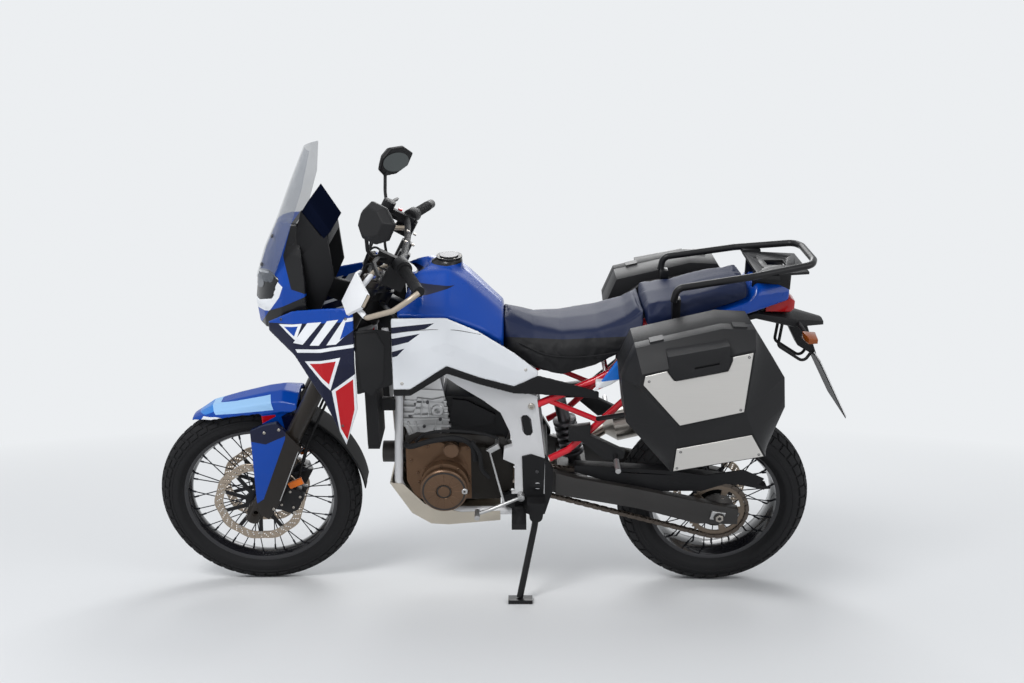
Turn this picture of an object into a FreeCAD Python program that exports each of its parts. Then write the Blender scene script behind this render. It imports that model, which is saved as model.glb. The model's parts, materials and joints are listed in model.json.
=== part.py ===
import FreeCAD, Part

import math
import os

# An adventure motorcycle that leans on its side stand, in millimetres.
# Everything is modelled upright in the machine's own frame: x runs rearward from the front axle,
# y to the rider's right, z up from the ground line. Pieces that steer are turned to the left about
# the raked steering axis, and then the whole machine is leaned over, so that both tyres and the
# stand's foot meet z = 0. Pairs are built on the left side, where y is negative, and mirrored.

V = FreeCAD.Vector

# Driving dimensions.
WHEELBASE = 1575.0
FRONT_R, FRONT_HALF = 347.0, 45.0
REAR_R, REAR_HALF = 333.0, 75.0
RAKE = 27.5
FORK_OFFSET = 60.0
LEAN = 21.0
STEER = 2.5
LOCK = 35.0
RUN = 0.05
TOUCH = 0.3

FORK_Y, FORK_TUBE_R, STANCHION_R = 105.0, 28.0, 22.5
AXLE_R, AXLE_BORE_R = 12.0, 8.0
STEM_R = 15.0
CLAMP_LOW, CLAMP_TOP = 752.0, 912.0
BAR_RISE = 140.0
BAR_T = CLAMP_TOP + BAR_RISE
CHAIN_Y, CHAIN_HALF = 96.0, 9.0
PIVOT = (960.0, 467.0)
FRONT_SPROCKET = (850.0, 480.0)
REAR_AXLE_R = 12.0
PLATE_IN, PLATE_OUT = 128.0, 150.0
STAND_PIVOT = (955.0, 372.0)
STAND_PIN_R = 8.0
STAND_FOOT_Y = -318.0
CASE_IN, CASE_SPLIT, CASE_OUT = 218.0, 325.0, 430.0
CASE_WALL = 4.0
LID_PIN_R = 4.0

AXIS = V(math.sin(math.radians(RAKE)), 0, math.cos(math.radians(RAKE)))
NORMAL = V(math.cos(math.radians(RAKE)), 0, -math.sin(math.radians(RAKE)))
FRONT_AXLE = V(0, 0, FRONT_R)
REAR_AXLE = V(WHEELBASE, 0, REAR_R)
AXIS_FOOT = FRONT_AXLE + NORMAL * FORK_OFFSET


def box(x0, x1, y0, y1, z0, z1):
    return Part.makeBox(x1 - x0, y1 - y0, z1 - z0, V(x0, y0, z0))


def face(points):
    return Part.Face(Part.makePolygon(list(points) + [points[0]]))


def slab(outline, y0, y1):
    """A side-view outline of (x, z) points, made solid from y0 to y1."""
    return face([V(x, y0, z) for x, z in outline]).extrude(V(0, y1 - y0, 0))


def slab_x(outline, x0, x1):
    """A front-view outline of (y, z) points, made solid from x0 to x1."""
    return face([V(x0, y, z) for y, z in outline]).extrude(V(x1 - x0, 0, 0))


def slab_z(outline, z0, z1):
    """A top-view outline of (x, y) points, made solid from z0 to z1."""
    return face([V(x, y, z0) for x, y in outline]).extrude(V(0, 0, z1 - z0))


def skin(sections):
    """A straight-sided loft through closed sections with the same number of points."""
    wires = [Part.makePolygon(list(s) + [s[0]]) for s in sections]
    return Part.makeLoft(wires, True, True)


def body(stations):
    """A symmetric body: each station is (x, right half outline of (y, z) from top to bottom)."""
    sections = []
    for x, half in stations:
        left = [(-y, z) for y, z in reversed(half) if y > 0.01]
        sections.append([V(x, y, z) for y, z in half + left])
    return skin(sections)


def wing(stations, thickness):
    """A left side panel: each station is (x, outer (y, z) points from top to bottom)."""
    sections = []
    for x, line in stations:
        inner = [(y + thickness, z) for y, z in reversed(line)]
        sections.append([V(x, y, z) for y, z in line + inner])
    return skin(sections)


def rod(p, q, r):
    p, q = V(*p), V(*q)
    return Part.makeCylinder(r, (q - p).Length, p, q - p)


def strut(p, q, r):
    """A thin bar, square in section, between two points."""
    return Part.makeLoft([square(p, q - p, r), square(q, q - p, r)], True, True)


def square(at, along, r):
    frame = FreeCAD.Rotation(V(0, 0, 1), along)
    corners = [at + frame.multVec(V(r * x, r * y, 0)) for x, y in ((-1, -1), (1, -1), (1, 1), (-1, 1))]
    return Part.makePolygon(corners + corners[:1])


def tube(points, r, bend=40.0):
    """A round bar along a path whose corners are bent to the given radius, or mitred for 0."""
    pts = [V(*p) for p in points]
    if not bend:
        ring = Part.Wire(Part.Circle(pts[0], pts[1] - pts[0], r).toShape())
        return Part.makePolygon(pts).makePipeShell([ring], True, False, 1)
    edges, start = [], pts[0]
    for a, b, c in zip(pts, pts[1:], pts[2:]):
        u, w = (a - b).normalize(), (c - b).normalize()
        half = math.acos(max(-1.0, min(1.0, u.dot(w)))) / 2
        reach = min(bend / math.tan(half), (a - b).Length * 0.45, (c - b).Length * 0.45)
        radius = reach * math.tan(half)
        middle = (u + w).normalize()
        centre = b + middle * (radius / math.sin(half))
        first, last = b + u * reach, b + w * reach
        if (first - start).Length > 1e-3:
            edges.append(Part.LineSegment(start, first).toShape())
        edges.append(Part.Arc(first, centre - middle * radius, last).toShape())
        start = last
    edges.append(Part.LineSegment(start, pts[-1]).toShape())
    ring = Part.Wire(Part.Circle(pts[0], pts[1] - pts[0], r).toShape())
    return Part.Wire(edges).makePipeShell([ring], True, False)


def disc(centre, r, y0, y1):
    """A round piece across the machine, round an (x, z) centre."""
    return Part.makeCylinder(r, y1 - y0, V(centre[0], y0, centre[1]), V(0, 1, 0))


def ring(centre, r_out, r_in, y0, y1):
    return disc(centre, r_out, y0, y1).cut(disc(centre, r_in, y0 - 1, y1 + 1))


def mirrored(shape):
    return shape.mirror(V(0, 0, 0), V(0, 1, 0))


def pair(left):
    return [left, mirrored(left)]


def flat(shapes):
    """One plain list out of shapes and lists of shapes."""
    out = []
    for s in shapes:
        out += flat(s) if isinstance(s, (list, tuple)) else [s]
    return out


def fuse(shapes):
    first, *others = flat(shapes)
    return first.multiFuse(others).removeSplitter() if others else first


def less(shape, *tools):
    """The shape, or list of shapes, with the tools taken away."""
    cutters = flat(tools)
    if isinstance(shape, list):
        return [less(s, *cutters) for s in shape]
    near = [t for t in cutters if t.BoundBox.intersect(shape.BoundBox)]
    return shape.cut(near) if near else shape


def spin(profile, centre):
    """A wheel piece: edges of an (r, y) profile, turned about the axle through the centre."""
    outline = Part.Face(Part.Wire(Part.__sortEdges__(profile)))
    return outline.revolve(V(0, 0, 0), V(0, 1, 0), 360).translated(centre)


def lines(points):
    pts = [V(r, y, 0) for r, y in points]
    return [Part.LineSegment(a, b).toShape() for a, b in zip(pts, pts[1:])]


def arc(p, q, s):
    return Part.Arc(*[V(r, y, 0) for r, y in (p, q, s)]).toShape()


def to_fork(shape):
    """From the steering frame, x rearward, z up the steering axis, to the machine's frame."""
    turned = shape.rotated(V(0, 0, 0), V(0, 1, 0), RAKE)
    return turned.translated(AXIS_FOOT)


# Wheels. The tread's crown is an arc through its middle and both shoulders, cut in a few flats, of
# which one corner lies where the leaning tyre meets the ground.
CROWN_ANGLES = (-80, -50, -LEAN, 0, LEAN, 50, 80)


def tyre(radius, half, shoulder, bead, bead_half, wall, centre):
    ring_r, crown_r = crown(radius, half, shoulder)
    outer = [(ring_r + crown_r * math.cos(math.radians(a)), crown_r * math.sin(math.radians(a)))
             for a in CROWN_ANGLES]
    inner = [(radius - wall - 3, 0), (shoulder, -half + wall), (bead, -bead_half + wall)]
    left, right = (bead, -bead_half), (bead, bead_half)
    profile = [left] + outer + [right, (bead, bead_half - wall), (shoulder, half - wall)] + inner
    return spin(lines(profile + [left]), centre)


def wheel(rim_r, rim_half, hub_r, hub_half, flange_half, spokes, centre, bore):
    deep = rim_r - 20
    rim = spin(lines([(rim_r, -rim_half), (rim_r, rim_half), (rim_r - 12, rim_half),
                      (deep, rim_half * 0.45), (deep, -rim_half * 0.45),
                      (rim_r - 12, -rim_half), (rim_r, -rim_half)]), V(0, 0, 0))
    hub = spin(lines([(bore, -hub_half), (bore, hub_half), (bore + 8, hub_half),
                      (bore + 8, flange_half + 6), (hub_r, flange_half + 6),
                      (hub_r, flange_half), (hub_r - 12, flange_half - 8),
                      (hub_r - 12, -flange_half + 8), (hub_r, -flange_half),
                      (hub_r, -flange_half - 6), (bore + 8, -flange_half - 6),
                      (bore + 8, -hub_half), (bore, -hub_half)]), V(0, 0, 0))
    bars = []
    for k in range(spokes):
        side = 1 if k % 2 else -1
        slant = 0.42 if k % 4 < 2 else -0.42
        a = 2 * math.pi * k / spokes
        p = V((hub_r - 3) * math.cos(a), side * (flange_half + 3), (hub_r - 3) * math.sin(a))
        b = a + slant
        q = V((deep + 3) * math.cos(b), side * rim_half * 0.3, (deep + 3) * math.sin(b))
        bars.append(strut(p, q, 2.4))
    return rim.multiFuse([hub] + bars).translated(centre)


def brake_disc(radius, thickness, y, hub_r, centre, waves):
    outline = []
    for k in range(6 * waves):
        a = 2 * math.pi * k / (6 * waves)
        r = radius - 2.5 + 2.5 * math.cos(waves * a)
        outline.append(V(r * math.cos(a), 0, r * math.sin(a)))
    plate = face(outline).extrude(V(0, thickness, 0))
    cuts = [Part.makeCylinder(hub_r, 40, V(0, -20, 0), V(0, 1, 0))]
    inner = radius - 30
    for k in range(waves):
        a, b = 2 * math.pi * k / waves, 2 * math.pi * (k + 0.72) / waves
        gap = [V(inner * math.cos(a), -5, inner * math.sin(a)),
               V(inner * math.cos((a + b) / 2), -5, inner * math.sin((a + b) / 2)),
               V(inner * math.cos(b), -5, inner * math.sin(b)),
               V((hub_r + 16) * math.cos(b), -5, (hub_r + 16) * math.sin(b)),
               V((hub_r + 16) * math.cos(a), -5, (hub_r + 16) * math.sin(a))]
        cuts.append(face(gap).extrude(V(0, 30, 0)))
    return plate.cut(cuts).translated(centre + V(0, y - thickness / 2, 0))


def toothed(radius, teeth, depth, y, thickness, bore, centre):
    outline = []
    for k in range(teeth):
        for f, r in ((0.0, radius - depth), (0.3, radius - depth), (0.42, radius), (0.6, radius)):
            a = 2 * math.pi * (k + f) / teeth
            outline.append(V(r * math.cos(a), 0, r * math.sin(a)))
    plate = face(outline).extrude(V(0, thickness, 0))
    cuts = [Part.makeCylinder(bore, 40, V(0, -20, 0), V(0, 1, 0))]
    for k in range(6):
        a = math.pi / 3 * (k + 0.5)
        hole = V(radius * 0.66 * math.cos(a), -20, radius * 0.66 * math.sin(a))
        cuts.append(Part.makeCylinder(radius * 0.16, 40, hole, V(0, 1, 0)))
    return plate.cut(cuts).translated(centre + V(0, y - thickness / 2, 0))


def wheels():
    parts = {}
    parts["front_tyre"] = tyre(FRONT_R, FRONT_HALF, 310, 262 + TOUCH, 30, 7, FRONT_AXLE)
    parts["front_wheel"] = wheel(262, 31, 46, 80, 48, 32, FRONT_AXLE, AXLE_R + RUN)
    parts["front_discs"] = pair(brake_disc(155, 5, -57 + TOUCH - 0.3, 22, FRONT_AXLE, 10))
    parts["rear_tyre"] = tyre(REAR_R, REAR_HALF, 275, 226 + TOUCH, 56, 9, REAR_AXLE)
    parts["rear_wheel"] = wheel(226, 56, 52, 104, 50, 32, REAR_AXLE, REAR_AXLE_R + RUN)
    parts["rear_disc"] = mirrored(brake_disc(128, 5, -59, 22, REAR_AXLE, 9))
    sprocket = toothed(104, 42, 8, -CHAIN_Y, 6, 21, REAR_AXLE)
    carrier = ring((WHEELBASE, REAR_R), 62, 21, -CHAIN_Y + 3, -56.3)
    parts["rear_sprocket"] = fuse([sprocket, carrier])
    return parts


# Steering, in its own frame: x rearward from the steering axis, z up along it.
def steering():
    parts = {}
    x, y = -FORK_OFFSET, -FORK_Y
    foot = Part.makeCylinder(STANCHION_R + 2, 95, V(x, y, -42), V(0, 0, 1))
    eye = Part.makeCylinder(30, 34, V(x, y - 17, 0), V(0, 1, 0))
    lower = Part.makeCylinder(STANCHION_R, 320, V(x, y, 40), V(0, 0, 1))
    upper = Part.makeCylinder(FORK_TUBE_R, 645, V(x, y, 300), V(0, 0, 1))
    cap = Part.makeCylinder(20, 6, V(x, y, 945), V(0, 0, 1))
    mount = box(x, x + 52, y - 4, y + 14, 30, 118)
    bore = Part.makeCylinder(AXLE_R, 60, V(x, y - 30, 0), V(0, 1, 0))
    leg = foot.multiFuse([eye, lower, upper, cap, mount]).cut(bore)
    legs = pair(leg)
    axle = Part.makeCylinder(AXLE_R, 250, V(-FORK_OFFSET, -125, 0), V(0, 1, 0))
    axle = axle.cut(Part.makeCylinder(AXLE_BORE_R, 260, V(-FORK_OFFSET, -130, 0), V(0, 1, 0)))
    parts["fork_legs"] = to_fork(fuse(legs + [axle]))

    clamps = []
    for t, thick in ((CLAMP_LOW, 30), (CLAMP_TOP, 26)):
        web = slab_z([(-84, -FORK_Y), (-32, -FORK_Y), (0, -50), (25, 0), (0, 50), (-32, FORK_Y),
                      (-84, FORK_Y), (-66, 50), (-66, -50)], t - thick / 2, t + thick / 2)
        eyes = [Part.makeCylinder(FORK_TUBE_R + 6, thick, V(-FORK_OFFSET, s * FORK_Y, t - thick / 2),
                                  V(0, 0, 1)) for s in (-1, 1)]
        clamps += [web] + eyes
    stem = Part.makeCylinder(STEM_R, CLAMP_TOP - CLAMP_LOW + 20, V(0, 0, CLAMP_LOW - 10), V(0, 0, 1))
    risers = pair(box(-16, 20, -66, -38, CLAMP_TOP + 12, BAR_T))
    clamps = less(fuse(clamps + [stem] + risers), legs)

    path = [(43, -400, 1090), (-18, -215, 1072), (0, -95, BAR_T), (0, 95, BAR_T), (-18, 215, 1072),
            (43, 400, 1090)]
    bar = tube(path, 11.0, 60.0)
    parts["triple_clamps"] = to_fork(less(clamps, bar))
    parts["handlebar"] = to_fork(bar)

    # The hand controls: rubber grip, switch housing, lever perch with lever, brake reservoir.
    def along(f):
        """A point on the handlebar's outer straight, f = 0 inboard to 1 at its end."""
        a, b = V(*path[1]), V(*path[0])
        return a + (b - a) * f

    out = (along(1) - along(0)).normalize()
    grip = Part.makeCylinder(16.5, 128, along(0.34), out)
    flange = Part.makeCylinder(22, 12, along(0.29), out)
    end_weight = Part.makeCylinder(16, 30, along(0.98), out)
    housing = Part.makeCylinder(25, 44, along(0.09), out)
    housing = housing.fuse(slab_z([(-42, -262), (-42, -230), (18, -222), (24, -262)], 1004, 1062))
    perch = box(-84, 6, -224, -202, 1052, 1082)
    lever = slab_z([(-62, -208), (-88, -238), (-94, -300), (-70, -385), (-62, -385), (-84, -300),
                    (-74, -244), (-46, -218)], 1062, 1072)
    left = fuse([grip, flange, end_weight, housing, perch, lever])
    reservoir = Part.makeCylinder(22, 44, V(-96, 206, 1060), V(0, 0, 1))
    right = fuse([mirrored(left), reservoir])
    controls = less([left, right], bar)
    parts["hand_controls"] = [to_fork(c) for c in controls]

    # Hand guards: a bent alloy bar round the grip with a moulded shield in front of it.
    guard_bar = tube([(50, -432, 1092), (34, -446, 1066), (8, -441, 1014), (-46, -400, 944),
                      (-103, -330, 945), (-70, -215, 1010), (-10, -150, 1060)], 8.0, 25.0)
    # y of each section, its a, and the heights of its top and bottom.
    shield = skin([[V(a, y, top), V(a, y, low), V(a + 8, y, low), V(a + 8, y, top)]
                   for y, a, top, low in ((-404, -72, 1012, 972), (-362, -98, 1018, 912),
                                          (-300, -124, 1018, 918), (-236, -112, 1006, 950))])
    guard = fuse([guard_bar, shield])
    guards = less(pair(guard), bar, left, right)
    parts["hand_guards"] = [to_fork(g) for g in guards]

    # Mirrors on stalks that stand on the lever perches.
    stalk = tube([(-66, -214, 1066), (-100, -262, 1072), (-120, -305, 1096), (-150, -338, 1156)], 6, 20)

    def glass(back, size):
        """The mirror's outline in its slanting plane, moved back and made smaller."""
        outline = [(-0.8, 1153), (-1, 1200), (-0.75, 1240), (0.1, 1254), (0.95, 1236), (1, 1187),
                   (0.45, 1150), (-0.3, 1136)]
        return [V(-128 + 45 * u * size - 0.785 * back, -350 - 57 * u * size - 0.62 * back,
                  1195 + (t - 1195) * size) for u, t in outline]

    head = skin([glass(0, 1), glass(12, 1), glass(32, 0.7)])
    mirror = fuse([stalk, head])
    parts["mirrors"] = [to_fork(m) for m in less(pair(mirror), left, right, bar)]

    # Front brake calipers behind the legs.
    near, far = x + 52 + TOUCH, x + 126
    caliper = slab([(near, 34), (far - 22, 30), (far, 56), (far, 108), (far - 20, 128), (near, 124)],
                   -101, -66)
    pads = box(x + 66, x + 126, -68, -47, 48, 128)
    slot = Part.makeCylinder(160, 12, V(x, -63, 0), V(0, 1, 0))
    caliper = less(caliper.fuse(pads), slot, legs)
    calipers = pair(caliper)
    parts["front_calipers"] = [to_fork(c) for c in calipers]
    # Brake hoses: down behind the right leg, with a branch across below the lower clamp.
    main = tube([(-92, 190, 1066), (-84, 150, 1040), (-54, 104, 990), (-24, 108, 945),
                 (-22, 112, 900), (-14, 100, 560), (-6, 84, 300), (28, 84, 118)], 4.5, 30)
    branch = tube([(-15.6, 102.4, 640), (-30, 60, 652), (-30, -60, 652), (-14, -100, 560),
                   (-6, -84, 300), (28, -84, 118)], 4.5, 30)
    parts["brake_hoses"] = to_fork(less(fuse([main, branch]), right, legs, clamps, calipers))
    return parts, [to_fork(leg) for leg in legs]


def fender(legs):
    # x, half width of the flat top, height of the edge and of the top over the axle, half width.
    stations = [
        (-202, 8, 308, 316, 30), (-130, 22, 323, 362, 62), (-40, 26, 341, 386, 72),
        (60, 28, 353, 409, 78), (110, 28, 359, 415, 84), (165, 30, 359, 403, 92)]
    sections = []
    for x, top_half, edge, top, half in stations:
        z_edge, z_top = FRONT_R + edge, FRONT_R + top
        outer = [(-half, z_edge), (-half * 0.86, z_edge + (z_top - z_edge) * 0.62), (-top_half, z_top),
                 (top_half, z_top), (half * 0.86, z_edge + (z_top - z_edge) * 0.62), (half, z_edge)]
        inner = [(y * 0.93, z - 5) for y, z in reversed(outer)]
        inner[0] = (half * 0.93, z_edge)
        inner[-1] = (-half * 0.93, z_edge)
        sections.append([V(x, y, z) for y, z in outer + inner])
    beak = skin(sections)
    brace = pair(box(40, 150, -78, -72, 600, 706))
    inner = ring((0, FRONT_R), FRONT_R + 24, FRONT_R + 18, -56, 56).common(
        slab([(60, 500), (460, 350), (460, 760), (60, 760)], -60, 60))
    brackets = [slab([(100, 706), (165, 679), (165, 748), (100, 758)], -16, 16)]
    shell = fuse([beak, inner.common(box(0, 500, -60, 60, 380, 760))] + brace + brackets)
    return less(shell, legs)


# Chassis pieces.
def frame_parts():
    parts = {}
    head = to_fork(Part.makeCylinder(31, 128, V(0, 0, 768.5), V(0, 0, 1)))
    bore = to_fork(Part.makeCylinder(STEM_R + RUN, 300, V(0, 0, 700), V(0, 0, 1)))
    spar = skin([[V(452, y, z) for y, z in ((-64, 1012), (-64, 1082), (-22, 1082), (-22, 1012))],
                 [V(560, y, z) for y, z in ((-122, 930), (-122, 996), (-92, 996), (-92, 930))],
                 [V(700, y, z) for y, z in ((-150, 836), (-150, 892), (-128, 892), (-128, 836))],
                 [V(800, y, z) for y, z in ((-150, 770), (-150, 850), (-128, 850), (-128, 770))]])
    plate = slab([(790, 850), (790, 775), (839, 736), (868, 668), (878, 612), (850, 602),
                  (846, 564), (884, 545), (884, 436), (842, 420), (842, 388), (935, 350),
                  (985, 352), (1010, 440), (1012, 520), (982, 575), (956, 795)], -PLATE_OUT, -PLATE_IN)
    window = slab([(904, 718), (910, 668), (920, 654), (936, 652), (944, 664), (938, 712), (928, 725),
                   (912, 727)], -160, -120)
    boss = disc((866, 580), 16, -PLATE_IN, -118.3)
    boss = boss.fuse(disc((858, 404), 13, -PLATE_IN, -118.3))
    sides = pair(fuse([spar, plate, boss]).cut(window))
    neck = box(430, 470, -40, 40, 1015, 1078)
    crosses = [disc((948, 740), 14, -PLATE_IN, PLATE_IN), disc((985, 540), 12, -PLATE_IN, PLATE_IN)]
    stand_ears = fuse([disc(STAND_PIVOT, 22, -162, -PLATE_OUT), disc(STAND_PIVOT, 22, -198, -188),
                       slab([(933, 372), (977, 372), (985, 424), (925, 424)], -198, -PLATE_OUT)])
    ear_gap = box(900, 1010, -188, -162, 300, 402)
    pin = disc(STAND_PIVOT, STAND_PIN_R, -196, -155)
    pivot = disc(PIVOT, REAR_AXLE_R, -PLATE_OUT - 8, PLATE_OUT + 8)
    frame = fuse(sides + crosses + [head, neck, less(stand_ears, ear_gap), pin, pivot])
    frame = frame.cut(bore)
    parts["main_frame"] = frame
    cradle = tube([(470, -70, 1002), (508, -112, 770), (494, -114, 460), (545, -114, 346),
                   (880, -116, 346), (920, -132, 372)], 14, 50)
    parts["cradle"] = less(pair(cradle), frame)
    rails = [
        tube([(958, -138, 760), (1141, -136, 844), (1300, -124, 930), (1560, -96, 1040)], 12, 0),
        tube([(1000, -138, 560), (1060, -138, 592), (1237, -136, 772), (1345, -122, 940)], 11, 0),
        rod((985, -138, 778), (1160, -138, 700), 9)]
    bridge = [disc((1180, 858), 9, -136, 136), disc((1400, 972), 9, -112, 112),
              disc((1560, 1040), 9, -96, 96)]
    subframe = fuse(rails + [mirrored(r) for r in rails] + bridge)
    parts["subframe"] = less(subframe, frame)
    return parts


def engine_parts():
    parts = {}
    case = slab([(521, 622), (560, 640), (700, 632), (850, 622), (870, 560), (866, 430), (833, 385),
                 (600, 381), (560, 400), (521, 470)], -104, 104)
    mounts = pair(disc((866, 580), 18, -118, -80).fuse(disc((858, 404), 14, -118, -80)))
    pocket = box(790, 900, -120, -84, 424, 536)
    shaft = disc(FRONT_SPROCKET, 11.8, -CHAIN_Y - 3, -80)
    case = fuse([case.cut(pocket)] + mounts + [shaft])
    parts["crankcase"] = case
    cover = slab([(524, 590), (560, 618), (640, 614), (700, 590), (729, 530), (738, 440), (705, 388),
                  (620, 384), (552, 405), (524, 470)], -128, -104)
    dome = disc((652, 470), 80, -156, -128)
    hub = disc((652, 470), 52, -166, -156)
    plug = disc((652, 470), 13, -171, -166)
    lobe = disc((715, 458), 22, -140, -128)
    boss = disc((676, 593), 26, -142, -128)
    wall = slab([(700, 600), (788, 596), (788, 402), (700, 400)], -127.7, -104)
    chain_cover = slab([(738, 598), (840, 590), (845, 560), (878, 540), (878, 440), (845, 424),
                        (836, 400), (738, 400)], -127.7, -122)
    left = fuse([cover, dome, hub, plug, lobe, boss, wall, chain_cover])
    clutch = fuse([slab([(560, 610), (700, 618), (800, 590), (812, 470), (770, 392), (600, 390),
                         (540, 450)], 104, 126), disc((700, 500), 92, 126, 150)])
    parts["engine_covers"] = [left, clutch]
    block = slab([(536, 624.3), (556, 640.3), (668, 634.3), (664, 720), (652, 790), (528, 796),
                  (518, 700)], -98, 98)
    fins = []
    for k in range(5):
        z = 662 + 22 * k
        fins.append(slab([(518 + k, z), (518 + k, z + 8), (674 - 3 * k, z + 6), (674 - 3 * k, z - 2)],
                         -106, 106))
    cover = slab([(530, 796), (650, 790), (640, 842), (548, 846)], -92, 92)
    plugs = pair(disc((600, 822), 14, -104, -92))
    parts["cylinders"] = less(fuse([block, cover] + fins + plugs), parts["crankcase"])
    rear_box = slab([(655, 625), (856, 610), (880, 700), (850, 762), (655, 770)], -96, 96)
    parts["throttle_body"] = less(rear_box, parts["crankcase"], parts["cylinders"])
    filter_can = Part.makeCylinder(36, 82, V(441, -62, 545), V(1, 0, 0))
    parts["crankcase"] = parts["crankcase"].fuse(filter_can)
    return parts


def exhaust(engine):
    first = tube([(514, -6, 730), (486, -4, 712), (488, 4, 600), (496, 10, 480), (560, 24, 355),
                  (720, 44, 355)], 17, 50)
    second = tube([(514, 50, 730), (486, 50, 712), (488, 50, 600), (496, 52, 480), (560, 62, 355),
                   (860, 72, 352), (960, 100, 352), (1060, 168, 392), (1140, 190, 442),
                   (1236, 202, 500)], 17, 70)
    collector = box(700, 800, 24, 92, 335, 374)
    pipes = fuse([first, second, collector])
    can_axis = (V(1640, 206, 596) - V(1232, 202, 498)).normalize()
    can = Part.makeCylinder(58, 380, V(1246, 202, 501.5), can_axis)
    cone = Part.makeCone(24, 58, 40, V(1208, 202, 492.5), can_axis)
    tip = Part.makeCone(58, 40, 26, V(1246, 202, 501.5) + can_axis * 380, can_axis)
    outlet = Part.makeCylinder(24, 40, V(1246, 202, 501.5) + can_axis * 392, can_axis)
    can = less(fuse([can, cone, tip]), outlet)
    return {"exhaust_pipes": less(pipes, can, engine), "silencer": can}


def swingarm_parts():
    parts = {}
    arm = skin([[V(x, y, z) for y, z in ((-138, lo), (-138, hi), (-110, hi), (-110, lo))]
                for x, lo, hi in ((915, 424, 508), (1010, 424, 506), (1084, 408, 484),
                                  (WHEELBASE - 275, REAR_R + 33, REAR_R + 107),
                                  (WHEELBASE - 75, REAR_R - 27, REAR_R + 59),
                                  (WHEELBASE + 65, REAR_R - 31, REAR_R + 27))])
    arm = less(arm, slab([(900, 300), (1020, 300), (1020, 700), (900, 700)], -PLATE_OUT, -127.7))
    brace = skin([[V(1030, y, z) for y, z in ((-112, 408), (-112, 476), (112, 476), (112, 408))],
                  [V(1130, y, z) for y, z in ((-112, 400), (-112, 466), (112, 466), (112, 400))]])
    arms = fuse(pair(arm) + [brace])
    arms = less(arms, disc(PIVOT, REAR_AXLE_R, -200, 200),
                disc((WHEELBASE, REAR_R), REAR_AXLE_R, -200, 200))
    low, high = V(1095, 0, 462), V(1034, 0, 712)
    slope = (high - low).normalize()
    shock = Part.makeCylinder(22, (high - low).Length - 8, low, slope)
    coils = [Part.makeCylinder(40, 11, low + slope * (46 + 24 * k), slope) for k in range(6)]
    top = box(1014, 1054, -60, 60, 716, 740)
    parts["rear_shock"] = less(fuse([shock, disc((1034, 712), 20, -30, 30), top] + coils), arms)
    axle = disc((WHEELBASE, REAR_R), REAR_AXLE_R, -152, 152)
    nuts = [disc((WHEELBASE, REAR_R), 19, -150, -138), disc((WHEELBASE, REAR_R), 19, 138, 150)]
    parts["swingarm"] = fuse([arms, axle] + nuts)
    return parts


def chain_parts():
    """One closed loop of side plates with a bridge over the teeth, and the front sprocket."""
    big, small = 112.0, 48.0
    front = FRONT_SPROCKET
    d = math.hypot(WHEELBASE - front[0], REAR_R - front[1])
    tilt = math.atan2(REAR_R - front[1], WHEELBASE - front[0])
    lean = math.asin((big - small) / d)

    def loop(r_big, r_small, y0, y1):
        wire = []
        top, low = tilt + math.pi / 2 + lean, tilt - math.pi / 2 - lean

        def at(c, r, a):
            return V(c[0] + r * math.cos(a), y0, c[1] + r * math.sin(a))

        rear = (WHEELBASE, REAR_R)
        a, b = at(front, r_small, top), at(rear, r_big, top)
        c, e = at(rear, r_big, low), at(front, r_small, low)
        wire.append(Part.LineSegment(a, b).toShape())
        wire.append(Part.Arc(b, at(rear, r_big, tilt), c).toShape())
        wire.append(Part.LineSegment(c, e).toShape())
        wire.append(Part.Arc(e, at(front, r_small, tilt + math.pi), a).toShape())
        return Part.Face(Part.Wire(wire)).extrude(V(0, y1 - y0, 0))

    y0, y1 = -CHAIN_Y - CHAIN_HALF, -CHAIN_Y + CHAIN_HALF
    whole = loop(big, small, y0, y1)
    inside = loop(big - 16, small - 16, y0 - 1, y1 + 1)
    groove = loop(big - 4, small - 4, -CHAIN_Y - 4.5, -CHAIN_Y + 4.5)
    chain = whole.cut([inside, groove])
    pinion = toothed(42, 16, 6, -CHAIN_Y, 8.4, 12, V(front[0], 0, front[1]))
    return {"drive_chain": [chain, pinion]}


# The case's outline, and the matching corners of its facetted outer face.
CASE_OUTLINE = [(1238, 1059), (1489, 1120), (1583, 1116), (1681, 964), (1691, 867), (1646, 725),
                (1345, 666), (1219, 817), (1200, 964)]
CASE_FACE = [(1252, 1004), (1455, 1054), (1573, 1082), (1560, 880), (1588, 812), (1630, 735),
             (1352, 682), (1365, 830), (1246, 965)]


def inset(outline, by):
    wire = Part.makePolygon([V(x, 0, z) for x, z in outline + outline[:1]])
    small = wire.makeOffset2D(-by)
    return [(v.X, v.Z) for v in small.OrderedVertexes]


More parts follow.
